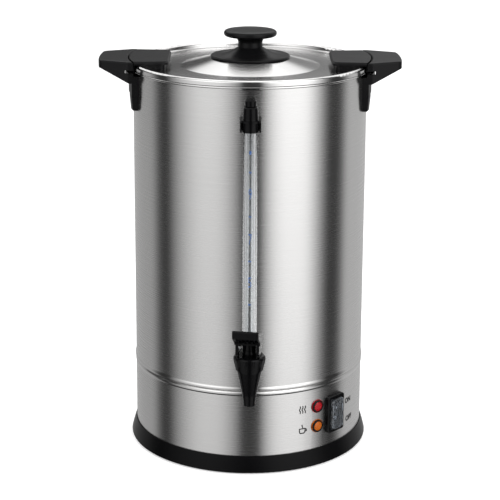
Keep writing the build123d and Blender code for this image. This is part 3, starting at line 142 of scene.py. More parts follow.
class Sheet:
    """The node tree of one material or of the world."""

    def __init__(self, owner):
        owner.use_nodes = True
        self.tree = owner.node_tree
        self.tree.nodes.clear()

    def node(self, kind, settings=None, inputs=None):
        """Adds a node: its settings first, then the values or links of its sockets."""
        node = self.tree.nodes.new(kind)
        for name, value in (settings or {}).items():
            setattr(node, name, value)
        for name, value in (inputs or {}).items():
            plug(self.tree, node.inputs[name], value)
        return node

    def add(self, kind, settings=None, inputs=None, output=0):
        """Adds a node and gives the wire from one of its outputs."""
        return Wire(self.tree, self.node(kind, settings, inputs).outputs[output])

    def place(self):
        """X, Y and Z of the surface point, in metres from the urn's origin."""
        point = self.add("ShaderNodeTexCoord", output="Object")
        split = self.node("ShaderNodeSeparateXYZ", inputs={0: point})
        return [Wire(self.tree, axis) for axis in split.outputs]

    def point(self, x, y, z):
        return self.add("ShaderNodeCombineXYZ", inputs={"X": x, "Y": y, "Z": z})

    def noise(self, where, scale=1.0, detail=3.0, roughness=0.55):
        return self.add("ShaderNodeTexNoise", {"noise_dimensions": "3D"}, {
            "Vector": where, "Scale": scale, "Detail": detail, "Roughness": roughness}, "Fac")

    def ease(self, value, start, end, low=0.0, high=1.0):
        """A smooth step from low to high as value goes from start to end."""
        return self.add("ShaderNodeMapRange", {"interpolation_type": "SMOOTHSTEP"}, {
            "Value": value, "From Min": start, "From Max": end, "To Min": low, "To Max": high})

    def slope(self, value, start, end):
        """A straight run from 0 to 1 as value goes from start to end."""
        return self.add("ShaderNodeMapRange", {"interpolation_type": "LINEAR"}, {
            "Value": value, "From Min": start, "From Max": end})

    def bump(self, height, distance, strength=1.0):
        return self.add("ShaderNodeBump", inputs={
            "Height": height, "Distance": distance, "Strength": strength}, output="Normal")

    def mixed(self, amount, low, high):
        """A colour between low and high by amount."""
        return self.add("ShaderNodeMix", {"data_type": "RGBA"}, {
            MIX_AMOUNT: amount, MIX_LOW: low, MIX_HIGH: high}, MIX_RESULT)

    def surface(self, **inputs):
        """Ends the material in a Principled shader; a name's underscores stand for spaces."""
        shader = self.add("ShaderNodeBsdfPrincipled", inputs={
            name.replace("_", " "): value for name, value in inputs.items()})
        self.close(shader)

    def close(self, shader, kind="ShaderNodeOutputMaterial"):
        """Ends the tree in an output node."""
        self.node(kind, inputs={"Surface": shader})


def new_material(name):
    material = bpy.data.materials.new(name)
    return material, Sheet(material)


def shade(colour, factor):
    """The same colour, lighter or darker, with an alpha of 1."""
    return (*[min(1.0, channel * factor) for channel in colour[:3]], 1.0)


# ---------------------------------------------------------------- finishes
def brushed_steel(name, colour, roughness, grain, anisotropic=0.86):
    """Stainless sheet with fine brushing lines round the urn's axis, bright where it is rolled."""
    material, sheet = new_material(name)
    x, y, z = sheet.place()
    around = (x * x + y * y).root()
    across = z + around if grain == "spun" else z
    lines = sheet.noise(sheet.point(x * 9.0, y * 9.0, across * 2600.0), 1.0, 3.0, 0.7)
    long_lines = sheet.noise(sheet.point(x * 3.0, y * 3.0, across * 520.0), 1.0, 2.0, 0.6)
    cloud = sheet.noise(sheet.point(x * 14.0, y * 14.0, z * 9.0), 1.0, 2.0, 0.5)
    worn = lines * 0.75 + long_lines * 0.25
    tone = sheet.mixed(sheet.ease(worn, 0.3, 0.7), shade(colour, 0.975), shade(colour, 1.02))
    relief = worn
    if grain == "round":
        roll_low, roll_high = [TANK_TOP - below for below in TANK_ROLL]
        rolled = (sheet.ease((z - SEAM).size(), *SEAM_BEAD, 1.0, 0.0) + sheet.ease(
            z, roll_low, roll_high)) * 0.5
        behind = (y > 0.0) * (z < roll_high)
        weld = sheet.ease(x.size(), 0.0, WELD_REACH, 1.0, 0.0) * behind
        heat = sheet.ease(x.size(), 0.0, HEAT_REACH, 1.0, 0.0) * behind
        straw = shade((colour[0], colour[1] * 0.93, colour[2] * 0.82), 0.86)
        tone = sheet.mixed(heat * 0.35, tone, straw)
        relief = worn + weld * 6.0
    else:
        rolled = sheet.ease(around, *[LID_RADIUS - inside for inside in LID_ROLL]) * 0.1
    tangent = sheet.add("ShaderNodeTangent", {"direction_type": "RADIAL", "axis": "Z"})
    brushed = roughness + (worn - 0.5) * 0.06 + (cloud - 0.5) * 0.04
    sheet.surface(
        Base_Color=tone,
        Metallic=1.0,
        Roughness=brushed * (1.0 - rolled),
        Anisotropic=anisotropic,
        Anisotropic_Rotation=0.25,
        Tangent=tangent,
        Normal=sheet.bump(relief, 0.00001, 0.35),
    )
    return material


def plain_metal(name, colour, roughness, mottle=40.0, stain=None):
    """Cast, drawn or turned metal with a slight mottle."""
    material, sheet = new_material(name)
    x, y, z = sheet.place()
    spots = sheet.noise(sheet.point(x, y, z), mottle * 10.0, 3.0, 0.6)
    patches = sheet.noise(sheet.point(x, y, z), mottle, 2.0, 0.5)
    tone = sheet.mixed(spots, shade(colour, 0.88), shade(colour, 1.06))
    if stain:
        tone = sheet.mixed(sheet.ease(patches, 0.45, 0.7) * 0.5, tone, (*stain, 1.0))
    sheet.surface(
        Base_Color=tone,
        Metallic=1.0,
        Roughness=roughness + (spots - 0.5) * 0.12 + (patches - 0.5) * 0.08,
        Normal=sheet.bump(spots, 0.00003, 0.4),
    )
    return material


def moulded_plastic(name, colour, roughness, grain=0.35, specular=0.5):
    """Injection-moulded plastic with a fine grain and slight flow marks."""
    material, sheet = new_material(name)
    x, y, z = sheet.place()
    where = sheet.point(x, y, z)
    pits = sheet.noise(where, 2300.0, 2.0, 0.55)
    flow = sheet.noise(where, 38.0, 2.0, 0.5)
    sheet.surface(
        Base_Color=sheet.mixed(flow, shade(colour, 0.86), shade(colour, 1.16)),
        Roughness=roughness + (pits - 0.5) * 0.14 + (flow - 0.5) * 0.07,
        Specular_IOR_Level=specular,
        Normal=sheet.bump(pits, 0.00005, grain),
    )
    return material


def soft_rubber(name, colour, roughness):
    """Silicone rubber with a dusty bloom."""
    material, sheet = new_material(name)
    x, y, z = sheet.place()
    where = sheet.point(x, y, z)
    bloom = sheet.noise(where, 120.0, 3.0, 0.6)
    pits = sheet.noise(where, 1500.0, 2.0, 0.5)
    dust = sheet.ease(bloom, 0.4, 0.75)
    sheet.surface(
        Base_Color=sheet.mixed(dust, shade(colour, 0.9), shade(colour, 1.5)),
        Roughness=roughness + (bloom - 0.5) * 0.2,
        Specular_IOR_Level=0.35,
        Normal=sheet.bump(pits, 0.00006, 0.5),
    )
    return material


def clear_wall(name, colour, roughness, ior, clear, waves=0.0):
    """See-through tube or cover with a faint haze, and upright waves where it is soft."""
    material, sheet = new_material(name)
    x, y, z = sheet.place()
    haze = sheet.noise(sheet.point(x, y, z), 60.0, 2.0, 0.5)
    looks = {
        "Base_Color": sheet.mixed(haze, shade(colour, 0.98), shade(colour, 1.02)),
        "Roughness": roughness * (0.8 + haze * 0.4),
        "IOR": ior,
        "Transmission_Weight": clear,
    }
    if waves:
        folds = sheet.noise(sheet.point(x * 330.0, y * 330.0, z * 70.0), 1.0, 2.0, 0.5)
        looks["Normal"] = sheet.bump(folds, waves, 1.0)
    sheet.surface(**looks)
    return material


def lamp_lens(name, colour, deep, glow):
    """Coloured lamp lens, moulded with small prisms inside and lit a little by its neon."""
    material, sheet = new_material(name)
    x, y, z = sheet.place()
    across = x * cos(radians(LAMP_AZIMUTH)) + y * sin(radians(LAMP_AZIMUTH))
    prisms = sheet.ease((across * 2600.0).sine() * (z * 2600.0).sine(), -0.6, 0.8)
    mist = sheet.noise(sheet.point(x, y, z), 260.0, 2.0, 0.5)
    tone = sheet.mixed(prisms * 0.7 + mist * 0.3, (*deep, 1.0), (*colour, 1.0))
    sheet.surface(
        Base_Color=tone,
        Roughness=0.12 + mist * 0.12,
        Specular_IOR_Level=0.35,
        Emission_Color=tone,
        Emission_Strength=glow,
        Normal=sheet.bump(prisms, 0.0002, 0.5),
    )
    return material


def printed_ink(name, colour):
    """Screen-printed ink, a little uneven and matt."""
    material, sheet = new_material(name)
    x, y, z = sheet.place()
    grain = sheet.noise(sheet.point(x, y, z), 1400.0, 2.0, 0.6)
    sheet.surface(
        Base_Color=sheet.mixed(grain, shade(colour, 0.85), shade(colour, 1.2)),
        Roughness=0.6 + (grain - 0.5) * 0.2,
        Specular_IOR_Level=0.1,
        Normal=sheet.bump(grain, 0.00001, 0.4),
    )
    return material


# ---------------------------------------------------------------- properties
class UrnColours(bpy.types.PropertyGroup):
    """Colours that a user would change."""

    steel: bpy.props.FloatVectorProperty(
        name="Steel", description="Brushed steel of tank and skirt", subtype="COLOR",
        size=3, min=0.0, max=1.0, default=(0.62, 0.615, 0.61))
    lid: bpy.props.FloatVectorProperty(
        name="Lid steel", description="Spun steel of the lid", subtype="COLOR",
        size=3, min=0.0, max=1.0, default=(0.68, 0.675, 0.67))
    plastic: bpy.props.FloatVectorProperty(
        name="Black plastic", description="Handles, knob and lid blocks", subtype="COLOR",
        size=3, min=0.0, max=1.0, default=(0.004, 0.004, 0.0043))
    tap: bpy.props.FloatVectorProperty(
        name="Tap plastic", description="Tap, gauge cap, switch and base ring", subtype="COLOR",
        size=3, min=0.0, max=1.0, default=(0.002, 0.002, 0.0023))
    scale_ink: bpy.props.FloatVectorProperty(
        name="Gauge ink", description="Numbers and ticks behind the sight tube", subtype="COLOR",
        size=3, min=0.0, max=1.0, default=(0.01, 0.09, 0.32))
    sign_ink: bpy.props.FloatVectorProperty(
        name="Sign ink", description="Signs beside lamps and switch", subtype="COLOR",
        size=3, min=0.0, max=1.0, default=(0.012, 0.012, 0.012))


class UrnMarks(bpy.types.PropertyGroup):
    """Sizes of the printed marks."""

    digit_height: bpy.props.FloatProperty(
        name="Digit height", description="Height of a number on the gauge scale", unit="LENGTH",
        min=0.002, max=0.02, default=0.0105)
    digit_width: bpy.props.FloatProperty(
        name="Digit width", description="Width of a number on the gauge scale", unit="LENGTH",
        min=0.002, max=0.012, default=0.0052)
    tick_width: bpy.props.FloatProperty(
        name="Tick width", description="Width of a tick between the numbers", unit="LENGTH",
        min=0.001, max=0.012, default=0.0046)
    sign_height: bpy.props.FloatProperty(
        name="Sign height", description="Height of capitals beside the switch", unit="LENGTH",
        min=0.001, max=0.01, default=0.0054)
    lamp_sign_height: bpy.props.FloatProperty(
        name="Lamp sign height", description="Height of the signs beside the lamps", unit="LENGTH",
        min=0.002, max=0.012, default=0.0082)


class UrnStudio(bpy.types.PropertyGroup):
    """Camera and light levels of the studio."""

    lens: bpy.props.FloatProperty(
        name="Lens", description="Focal length", unit="CAMERA", min=20.0, max=300.0, default=117.2)
    left_panel: bpy.props.FloatProperty(
        name="Left panel", description="Brightness of the soft panel on the left",
        min=0.0, max=4.0, default=0.91)
    right_panel: bpy.props.FloatProperty(
        name="Right panel", description="Brightness of the soft panel on the right",
        min=0.0, max=4.0, default=1.4)
    rear_panel: bpy.props.FloatProperty(
        name="Rear panel", description="Brightness of the panels behind the urn",
        min=0.0, max=4.0, default=0.5)
    rear_top: bpy.props.FloatProperty(
        name="Rear top panel", description="Brightness high up behind the urn, which the lid shows",
        min=0.0, max=4.0, default=1.35)


GROUPS = {"urn_colours": UrnColours, "urn_marks": UrnMarks, "urn_studio": UrnStudio}


# ---------------------------------------------------------------- modelling helpers
def select_only(piece):
    """Selects one piece and makes it the active one."""
    bpy.ops.object.select_all(action="DESELECT")
    piece.select_set(True)
    bpy.context.view_layer.objects.active = piece


def in_edit_mode(piece, *steps):
    """Runs each step with the piece's faces all selected in edit mode."""
    select_only(piece)
    bpy.ops.object.mode_set(mode="EDIT")
    bpy.ops.mesh.select_all(action="SELECT")
    for step in steps:
        step()
    bpy.ops.object.mode_set(mode="OBJECT")


def wrap(piece, azimuth, height, radius):
    """Lays a flat piece, drawn in X and Y with Z outwards, on the upright cylinder."""
    for vertex in piece.data.vertices:
        across, up, out = vertex.co
        angle = radians(azimuth) + across / radius
        reach = radius + out
        vertex.co = (reach * sin(angle), -reach * cos(angle), height + up)
    piece.data.update()


def face(piece, azimuth, height, radius, lean):
    """Lays a flat piece on a surface that looks out at an azimuth; lean is the sine of its tilt."""
    angle = radians(azimuth)
    level = Vector((cos(angle), sin(angle), 0.0))
    flat = (1.0 - lean * lean) ** 0.5
    out = Vector((sin(angle) * flat, -cos(angle) * flat, lean))
    turn = Matrix((level, out.cross(level), out)).transposed().to_4x4()
    spot = (radius * sin(angle), -radius * cos(angle), height)
    piece.data.transform(Matrix.Translation(spot) @ turn)


def finish_print(piece, name, ink, body="urn"):
    """Names a printed mark, gives it its ink and lets it ride."""
    in_edit_mode(piece, lambda: bpy.ops.mesh.remove_doubles(threshold=0.000001),
                 lambda: bpy.ops.mesh.normals_make_consistent(inside=False))
    piece.name = name
    piece.data.name = name
    piece.data.materials.clear()
    piece.data.materials.append(ink)
    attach(piece, body)


def flat_text(words, height, weight=0.0):
    """Plain lettering as a thin flat mesh centred on the origin, with capitals of that height."""
    bpy.ops.object.select_all(action="DESELECT")
    bpy.ops.object.text_add(location=(0, 0, 0))
    piece = bpy.context.object
    piece.data.body = words
    piece.data.align_x = "CENTER"
    piece.data.align_y = "CENTER"
    piece.data.resolution_u = 6
    piece.data.offset = weight
    piece.data.extrude = PRINT_DEPTH / 2 * CAPITAL_SHARE / height
    select_only(piece)
    bpy.ops.object.convert(target="MESH")
    piece = bpy.context.object
    size = height / CAPITAL_SHARE
    piece.data.transform(Matrix.Diagonal((size, size, size, 1.0)))
    return piece


def flat_bar(width, height):
    """A thin bar with rounded corners, in X and Y."""
    bpy.ops.object.select_all(action="DESELECT")
    bpy.ops.mesh.primitive_cube_add(size=1.0, location=(0, 0, 0))
    piece = bpy.context.object
    piece.data.transform(Matrix.Diagonal((width, height, PRINT_DEPTH, 1.0)))
    select_only(piece)
    bpy.ops.object.mode_set(mode="EDIT")
    bpy.ops.mesh.select_all(action="DESELECT")
    bpy.ops.object.mode_set(mode="OBJECT")
    for edge in piece.data.edges:
        ends = [piece.data.vertices[index].co for index in edge.vertices]
        edge.select = abs(ends[0].z - ends[1].z) > PRINT_DEPTH / 2
    bpy.ops.object.mode_set(mode="EDIT")
    bpy.ops.mesh.select_mode(type="EDGE")
    bpy.ops.mesh.bevel(offset=min(width, height) * 0.3, segments=3)
    bpy.ops.object.mode_set(mode="OBJECT")
    return piece


def flat_disc(radius, inner=0.0):
    """A thin disc, or a ring where it has an inner radius, in X and Y."""
    bpy.ops.object.select_all(action="DESELECT")
    bpy.ops.mesh.primitive_circle_add(
        vertices=40, radius=radius, fill_type="NGON", location=(0, 0, 0))
    piece = bpy.context.object
    if inner:
        in_edit_mode(
            piece,
            lambda: bpy.ops.mesh.inset(thickness=radius - inner, use_boundary=True),
            lambda: bpy.ops.mesh.delete(type="FACE"))
    thicken = {"value": (0, 0, PRINT_DEPTH / 2)}
    in_edit_mode(
        piece, lambda: bpy.ops.mesh.extrude_region_move(TRANSFORM_OT_translate=thicken))
    return piece


def flat_stroke(points, width):
    """A thin line of even width along points in X and Y."""
    bpy.ops.object.select_all(action="DESELECT")
    bpy.ops.curve.primitive_bezier_curve_add(location=(0, 0, 0))
    piece = bpy.context.object
    curve = piece.data
    curve.splines.clear()
    line = curve.splines.new("NURBS")
    line.points.add(len(points) - 1)
    for knot, (x, y) in zip(line.points, points):
        knot.co = (x, y, 0.0, 1.0)
    line.order_u = 3
    line.use_endpoint_u = True
    line.resolution_u = 8
    curve.dimensions = "2D"
    curve.fill_mode = "NONE"
    curve.extrude = PRINT_DEPTH / 2
    select_only(piece)
    bpy.ops.object.convert(target="MESH")
    piece = bpy.context.object
    thick = piece.modifiers.new("width", "SOLIDIFY")
    thick.thickness = width
    thick.offset = 0.0
    bpy.ops.object.modifier_apply(modifier=thick.name)
    return piece


def shift(piece, across, up):
    """Moves a flat piece in X and Y."""
    piece.data.transform(Matrix.Translation((across, up, 0.0)))
    return piece


def joined(pieces):
    """Several meshes as one."""
    bpy.ops.object.select_all(action="DESELECT")
    for piece in pieces:
        piece.select_set(True)
    bpy.context.view_layer.objects.active = pieces[0]
    bpy.ops.object.join()
    return bpy.context.object


# ---------------------------------------------------------------- operators
TUBE_TINT = (0.965, 0.98, 1.0)
TUBE_IOR = 1.49
TUBE_CLEAR = 0.985


class URN_OT_finishes(bpy.types.Operator):
    """Gives each of the urn's own pieces its finish"""

    bl_idname = "urn.finishes"
    bl_label = "Finishes"

    def execute(self, context):
        colours = context.scene.urn_colours
        steel, lid = tuple(colours.steel), tuple(colours.lid)
        plastic, tap = tuple(colours.plastic), tuple(colours.tap)
        finishes = {
            "brushed_steel": brushed_steel("tank steel", steel, 0.27, "round"),
            "lid_steel": brushed_steel("spun lid steel", lid, 0.19, "spun", 0.7),
            "tank_floor_steel": brushed_steel("plain sheet", shade(steel, 0.95), 0.34, "spun", 0.2),
            "screw_steel": plain_metal("screw steel", (0.62, 0.62, 0.61), 0.24),
            "aluminium": plain_metal(
                "heat plate alloy", (0.7, 0.7, 0.71), 0.42, 25.0, (0.42, 0.38, 0.33)),
            "heater_steel": plain_metal(
                "heating tube", (0.34, 0.31, 0.27), 0.38, 30.0, (0.2, 0.15, 0.12)),
            "rubber": soft_rubber("silicone rubber", (0.02, 0.02, 0.021), 0.62),
            "tap_black": moulded_plastic("tap plastic", tap, 0.13, 0.06, 0.12),
            "black_plastic": moulded_plastic("grained black plastic", plastic, 0.34, 0.3, 0.14),
            "lamp_black": moulded_plastic("switch plastic", tap, 0.2, 0.15, 0.22),
            "white_nylon": moulded_plastic("natural nylon", (0.74, 0.73, 0.69), 0.45, 0.3),
            "thermostat_brown": moulded_plastic("phenolic", (0.1, 0.055, 0.035), 0.4, 0.3),
            "reset_red": moulded_plastic("reset button", (0.5, 0.03, 0.02), 0.35, 0.2),
            "clear_tube": clear_wall("sight tube", TUBE_TINT, 0.01, TUBE_IOR, TUBE_CLEAR),
            "clear_boot": clear_wall("switch cover", (0.84, 0.89, 0.95), 0.05, 1.41, 0.975, 0.0008),
            "red_lens": lamp_lens("red lens", (0.5, 0.008, 0.016), (0.1, 0.001, 0.002), 0.05),
            "amber_lens": lamp_lens("amber lens", (0.6, 0.15, 0.01), (0.2, 0.035, 0.002), 0.05),
        }
        base = moulded_plastic("base plastic", tap, 0.3, 0.2, 0.1)
        for part in frame["record"]["subparts"]:
            node = frame["nodes"][part["node"]]
            finish = base if part["node"] == "base_ring" else finishes[part["material_slot"]]
            for slot in node.material_slots:
                slot.material = finish
        return {"FINISHED"}


class URN_OT_sight_tube(bpy.types.Operator):
    """Draws the clear sight tube with walls smooth enough to look through"""

    bl_idname = "urn.sight_tube"
    bl_label = "Sight tube"

    sides = 192
    wall = 0.0021
    end_bevel = 0.0003

    def execute(self, context):
        low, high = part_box("gauge_tube")
        bpy.ops.object.select_all(action="DESELECT")
        bpy.ops.mesh.primitive_cylinder_add(
            vertices=self.sides, radius=(high.x - low.x) / 2, depth=high.z - low.z,
            end_fill_type="NOTHING", location=(0, 0, 0))
        tube = bpy.context.object
        tube.data.transform(Matrix.Translation((low + high) / 2))
        thick = tube.modifiers.new("wall", "SOLIDIFY")
        thick.thickness = self.wall
        thick.offset = -1.0
        bpy.ops.object.modifier_apply(modifier=thick.name)
        soften = tube.modifiers.new("ends", "BEVEL")
        soften.width = self.end_bevel
        soften.segments = 3
        bpy.ops.object.modifier_apply(modifier=soften.name)
        in_edit_mode(tube, lambda: bpy.ops.mesh.normals_make_consistent(inside=False))
        bpy.ops.object.shade_smooth_by_angle(angle=radians(40.0))
        tube.name = "sight_tube"
        tube.data.name = "sight_tube"
        tube.data.materials.append(clear_wall("clear tube", TUBE_TINT, 0.0, TUBE_IOR, TUBE_CLEAR))
        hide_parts("gauge_tube")
        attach(tube, "urn")
        return {"FINISHED"}


class URN_OT_gauge_scale(bpy.types.Operator):
    """Prints the scale of plain numbers and ticks on the tank behind the sight tube"""

    bl_idname = "urn.gauge_scale"
    bl_label = "Gauge scale"

    # heights on the tank, in metres
    numbers = {"9": 0.2952, "7": 0.2505, "5": 0.2066}
    ticks = (0.3173, 0.2734, 0.2286, 0.1845)
    full_mark = 0.3365
    # radius of the dot, and a tick's height as a share of its width
    full_mark_radius = 0.0019
    tick_slimness = 0.28

    def execute(self, context):
        marks = context.scene.urn_marks
        ink = printed_ink("gauge ink", tuple(context.scene.urn_colours.scale_ink))
        surface = WALL_RADIUS + PRINT_DEPTH
        for digit, height in self.numbers.items():
            piece = flat_text(digit, marks.digit_height)
            spread = [vertex.co.x for vertex in piece.data.vertices]
            narrow = marks.digit_width / (max(spread) - min(spread))
            piece.data.transform(Matrix.Diagonal((narrow, 1.0, 1.0, 1.0)))
            wrap(piece, 0.0, height, surface)
            finish_print(piece, f"gauge_number_{digit}", ink)
        bars = []
        for height in self.ticks:
            bar = flat_bar(marks.tick_width, marks.tick_width * self.tick_slimness)
            bars.append(shift(bar, 0.0, height))
        dot = shift(flat_disc(self.full_mark_radius), 0.0, self.full_mark)
        ticks = joined([*bars, dot])
        wrap(ticks, 0.0, 0.0, surface)
        finish_print(ticks, "gauge_ticks", ink)
        return {"FINISHED"}


class URN_OT_switch_signs(bpy.types.Operator):
    """Prints ON and OFF beside the switch, and a line and a ring on its rocker"""

    bl_idname = "urn.switch_signs"
    bl_label = "Switch signs"

    places = {"ON": (59.4, 0.0572), "OFF": (60.6, 0.0365)}    # azimuth and height
    weight = 0.035
    rocker_azimuth = 46.7
    rocker_ink = (0.55, 0.56, 0.58)
    ring_radii = (0.0016, 0.001)
    ring_place = (0.046, 0.12346, -0.07)      # height, radius and lean of the rocker's lower face
    line_size = (0.0007, 0.0034)
    line_place = (0.058, 0.12566, -0.302)     # the same of its upper face

    def execute(self, context):
        height = context.scene.urn_marks.sign_height
        ink = printed_ink("sign ink", tuple(context.scene.urn_colours.sign_ink))
        for words, (azimuth, level) in self.places.items():
            piece = flat_text(words, height, self.weight)
            wrap(piece, azimuth, level, WALL_RADIUS + PRINT_DEPTH)
            finish_print(piece, f"switch_sign_{words.lower()}", ink)
        pale = printed_ink("rocker ink", self.rocker_ink)
        ring = flat_disc(*self.ring_radii)
        face(ring, self.rocker_azimuth, *self.ring_place)
        finish_print(ring, "rocker_mark_off", pale, "switch_rocker")
        line = flat_bar(*self.line_size)
        face(line, self.rocker_azimuth, *self.line_place)
        finish_print(line, "rocker_mark_on", pale, "switch_rocker")
        return {"FINISHED"}


class URN_OT_lamp_signs(bpy.types.Operator):
    """Prints a rising-heat sign beside the red lamp and a cup sign beside the amber lamp"""

    bl_idname = "urn.lamp_signs"
    bl_label = "Lamp signs"

    azimuth = 27.0
    heat_level = 0.0642
    cup_level = 0.0424
    # shares of the sign's height
    line_width = 0.14
    wave = ((0.0, -0.5), (0.12, -0.3), (-0.12, 0.0), (0.12, 0.3), (0.0, 0.5))
    wave_places = (-0.36, 0.0, 0.36)
    bowl = ((-0.42, 0.1), (-0.4, -0.3), (-0.3, -0.5), (0.0, -0.5), (0.3, -0.5), (0.4, -0.3),
            (0.42, 0.1))
    ear = ((0.41, 0.02), (0.62, 0.04), (0.62, -0.3), (0.38, -0.28))
    steam = ((0.0, 0.2), (0.1, 0.32), (-0.1, 0.5), (0.0, 0.66))
    rim_width = 0.9
    rim_level = 0.1

    def execute(self, context):
        size = context.scene.urn_marks.lamp_sign_height
        ink = printed_ink("lamp sign ink", tuple(context.scene.urn_colours.sign_ink))
        line = size * self.line_width

        def drawn(path, across=0.0):
            return flat_stroke([((x + across) * size, y * size) for x, y in path], line)

        heat = joined([drawn(self.wave, across) for across in self.wave_places])
        strokes = [drawn(path) for path in (self.bowl, self.ear, self.steam)]
        rim = shift(flat_bar(size * self.rim_width, line), 0.0, size * self.rim_level)
        cup = joined([*strokes, rim])
        signs = (("lamp_sign_heat", heat, self.heat_level), ("lamp_sign_cup", cup, self.cup_level))
        for name, sign, level in signs:
            wrap(sign, self.azimuth, level, WALL_RADIUS + PRINT_DEPTH)
            finish_print(sign, name, ink)
        return {"FINISHED"}


class URN_OT_studio(bpy.types.Operator):
    """Sets up the ring of soft panels, the floor, the lamps, the camera and the world"""

    bl_idname = "urn.studio"
    bl_label = "Studio"

    # turn, pitch and roll in degrees, reach and height in metres
    camera_turn = -0.312
    camera_reach = 1.6801
    camera_height = 0.697
    camera_pitch = 14.248
    camera_roll = 0.315
    frame_shift = (0.001, -0.12)
    floor_size = 30.0
    ring_radius = 1.45
    ring_foot = -3.6
    ring_top = 2.1
    ring_gap_level = 0.045
    # azimuths in degrees from the front: where a panel is fully lit, where it ends, and its fall
    left_outer = (-44.0, -84.0, 1.6)
    left_inner = (-36.0, -6.0, 2.0)
    right_inner = (40.0, 9.5, 2.7)
    right_outer = (50.0, 83.0)
    rear_start = (93.0, 111.0)
    # heights in metres over which the panels change
    foot_fade = (-1.3, -0.8)
    side_lift = (0.5, 0.8, 1.0, 1.6)
    rear_low = (0.45, 0.56, 1.0, 0.0)
    rear_high = (0.92, 1.18)
    floor_glow = 0.42
    lamp_aim = (0.0, 0.0, 0.35)
    # place, size, watts, and whether metal and gloss mirror the lamp
    lamp_setup = {
        "overhead_lamp": ((0.0, 0.75, 1.85), 1.1, 5.0, True),
        "left_fill": ((-1.1, -1.2, 1.1), 0.9, 9.0, False),
        "right_fill": ((1.2, -1.1, 1.0), 0.9, 12.0, False),
    }

    def edge(self, sheet, azimuth, full, dark, power):
        """Falls from 1 where a panel is fully lit to 0 where its edge ends, in degrees."""
        return 1.0 - sheet.slope(azimuth, full, dark).power(power)

    def ring(self, studio):
        """Ring of soft panels with dark gaps round the urn, seen by it and not by the camera."""
        bpy.ops.object.select_all(action="DESELECT")
        bpy.ops.mesh.primitive_cylinder_add(
            vertices=96, radius=self.ring_radius, depth=self.ring_top - self.ring_foot,
            end_fill_type="NOTHING", location=(0, 0, 0))
        ring = bpy.context.object
        ring.name = "studio_panels"
        ring.data.transform(Matrix.Translation((0, 0, (self.ring_top + self.ring_foot) / 2)))
        material, sheet = new_material("soft panels")
        x, y, z = sheet.place()
        azimuth = x.math("ARCTAN2", x, y * -1.0) * degrees(1.0)
        left = self.edge(sheet, azimuth, *self.left_outer) * self.edge(
            sheet, azimuth, *self.left_inner)
        right = self.edge(sheet, azimuth, *self.right_inner) * sheet.ease(
            azimuth, *self.right_outer, 1.0, 0.0)
        rise = 1.035 + z * 0.36                         # brighter upwards
        sides = left * rise.between(0.985, 1.15) * studio.left_panel + (
            right * rise.between(0.8, 1.15) * studio.right_panel)
        middle = (0.13 + x * 0.4).between(0.04, 0.5)    # between the low and high rear panels
        low = sheet.ease(z, *self.rear_low) * (
            studio.rear_panel * (1.0 + x * 0.12) - middle) + middle
        rear = sheet.ease(azimuth.size(), *self.rear_start) * (
            low + sheet.ease(z, *self.rear_high) * (studio.rear_top - middle))
        panels = (sides * sheet.ease(z, *self.side_lift) + rear) * sheet.ease(z, *self.foot_fade)
        sheet.close(sheet.add("ShaderNodeEmission", inputs={
            "Color": self.ring_gap_level + panels}))
        ring.data.materials.append(material)
        ring.visible_camera = False
        ring.visible_shadow = False

    def floor(self):
        """White floor that keeps the urn's shadow.

        Metal shows the ring of panels instead of it, and from below it is open.
        """
        bpy.ops.object.select_all(action="DESELECT")
        bpy.ops.mesh.primitive_plane_add(size=self.floor_size, location=(0, 0, 0))
        floor = bpy.context.object
        floor.name = "studio_floor"
        material, sheet = new_material("pale floor")
        x, y, z = sheet.place()
        cloud = sheet.noise(sheet.point(x, y, z), 3.0)
        paint = sheet.add("ShaderNodeBsdfDiffuse", inputs={
            "Color": sheet.mixed(cloud, (0.8, 0.8, 0.8, 1.0), (0.82, 0.82, 0.82, 1.0))})
        seen = sheet.add("ShaderNodeLightPath", output="Is Camera Ray") + sheet.add(
            "ShaderNodeLightPath", output="Is Transmission Ray")
        glow = sheet.add("ShaderNodeEmission", inputs={"Color": seen * self.floor_glow})
        lit = sheet.add("ShaderNodeAddShader", inputs={0: paint, 1: glow})
        mirrored = sheet.add("ShaderNodeLightPath", output="Glossy Depth") > 0.5
        below = sheet.add("ShaderNodeNewGeometry", output="Backfacing")
        sheet.close(sheet.add("ShaderNodeMixShader", inputs={
            0: mirrored + below, 1: lit, 2: sheet.add("ShaderNodeBsdfTransparent")}))
        floor.data.materials.append(material)

    def lamps(self):
        """A wide lamp overhead, and two that light only what is matt."""
        for name, (place, size, watts, mirrored) in self.lamp_setup.items():
            bpy.ops.object.light_add(type="AREA", location=place)
            lamp = bpy.context.object
            lamp.name = name
            lamp.data.size = size
            lamp.data.energy = watts
            towards = Vector(self.lamp_aim) - Vector(place)
            lamp.rotation_euler = towards.to_track_quat("-Z", "Y").to_euler()
            lamp.visible_glossy = mirrored

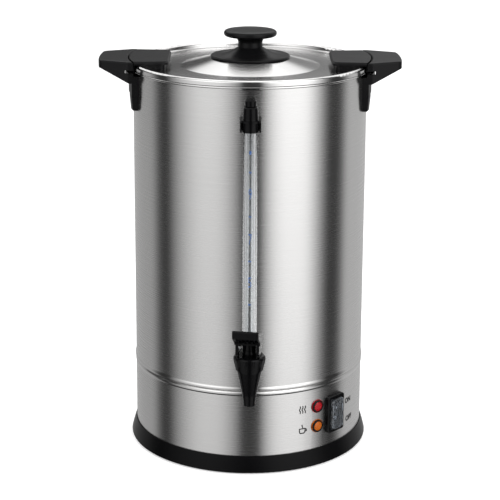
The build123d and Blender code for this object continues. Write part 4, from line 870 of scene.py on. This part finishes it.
    def camera(self, studio):
        """Camera in front of the urn, a little above and looking down, with a small shift."""
        bpy.ops.object.camera_add(location=(0, 0, 0))
        camera = bpy.context.object
        camera.name = "studio_camera"
        pitch, roll = radians(self.camera_pitch), radians(self.camera_roll)
        turn = radians(self.camera_turn)
        ahead, level = Vector((-sin(turn), cos(turn), 0)), Vector((cos(turn), sin(turn), 0))
        forward = cos(pitch) * ahead - Vector((0, 0, sin(pitch)))
        top = level.cross(forward)
        right = cos(roll) * level + sin(roll) * top
        up = cos(roll) * top - sin(roll) * level
        place = Vector((0, 0, self.camera_height)) - self.camera_reach * ahead
        axes = Matrix((right, up, -forward)).transposed().to_4x4()
        camera.matrix_world = Matrix.Translation(place) @ axes
        camera.data.lens = studio.lens
        camera.data.sensor_width = 36.0
        camera.data.shift_x, camera.data.shift_y = self.frame_shift
        camera.data.clip_start, camera.data.clip_end = 0.05, 60.0
        bpy.context.scene.camera = camera

    def world(self, scene):
        """White surroundings."""
        scene.world = bpy.data.worlds.new("white room")
        sheet = Sheet(scene.world)
        white = sheet.add("ShaderNodeBackground", inputs={"Color": (1, 1, 1, 1), "Strength": 1.0})
        sheet.close(white, "ShaderNodeOutputWorld")

    def execute(self, context):
        studio = context.scene.urn_studio
        self.ring(studio)
        self.floor()
        self.lamps()
        self.camera(studio)
        self.world(context.scene)
        context.scene.view_settings.view_transform = "Standard"
        return {"FINISHED"}


class URN_PT_panel(bpy.types.Panel):
    """Lists the urn's settings and steps"""

    bl_idname = "URN_PT_panel"
    bl_label = "Hot Water Urn"
    bl_space_type = "VIEW_3D"
    bl_region_type = "UI"
    bl_category = "Urn"

    def draw(self, context):
        for name, group in GROUPS.items():
            box = self.layout.box()
            for prop in group.__annotations__:
                box.prop(getattr(context.scene, name), prop)
        for step in STEPS:
            self.layout.operator(step.bl_idname)


STEPS = (URN_OT_studio, URN_OT_finishes, URN_OT_sight_tube, URN_OT_gauge_scale,
         URN_OT_switch_signs, URN_OT_lamp_signs)
CLASSES = (*GROUPS.values(), *STEPS, URN_PT_panel)


def register():
    for item in CLASSES:
        bpy.utils.register_class(item)
    for name, group in GROUPS.items():
        setattr(bpy.types.Scene, name, bpy.props.PointerProperty(type=group))


def unregister():
    for name in GROUPS:
        delattr(bpy.types.Scene, name)
    for item in reversed(CLASSES):
        bpy.utils.unregister_class(item)


def main():
    register()
    for step in STEPS:
        area, word = step.bl_idname.split(".")
        getattr(getattr(bpy.ops, area), word)()


if __name__ == "__main__":
    main()
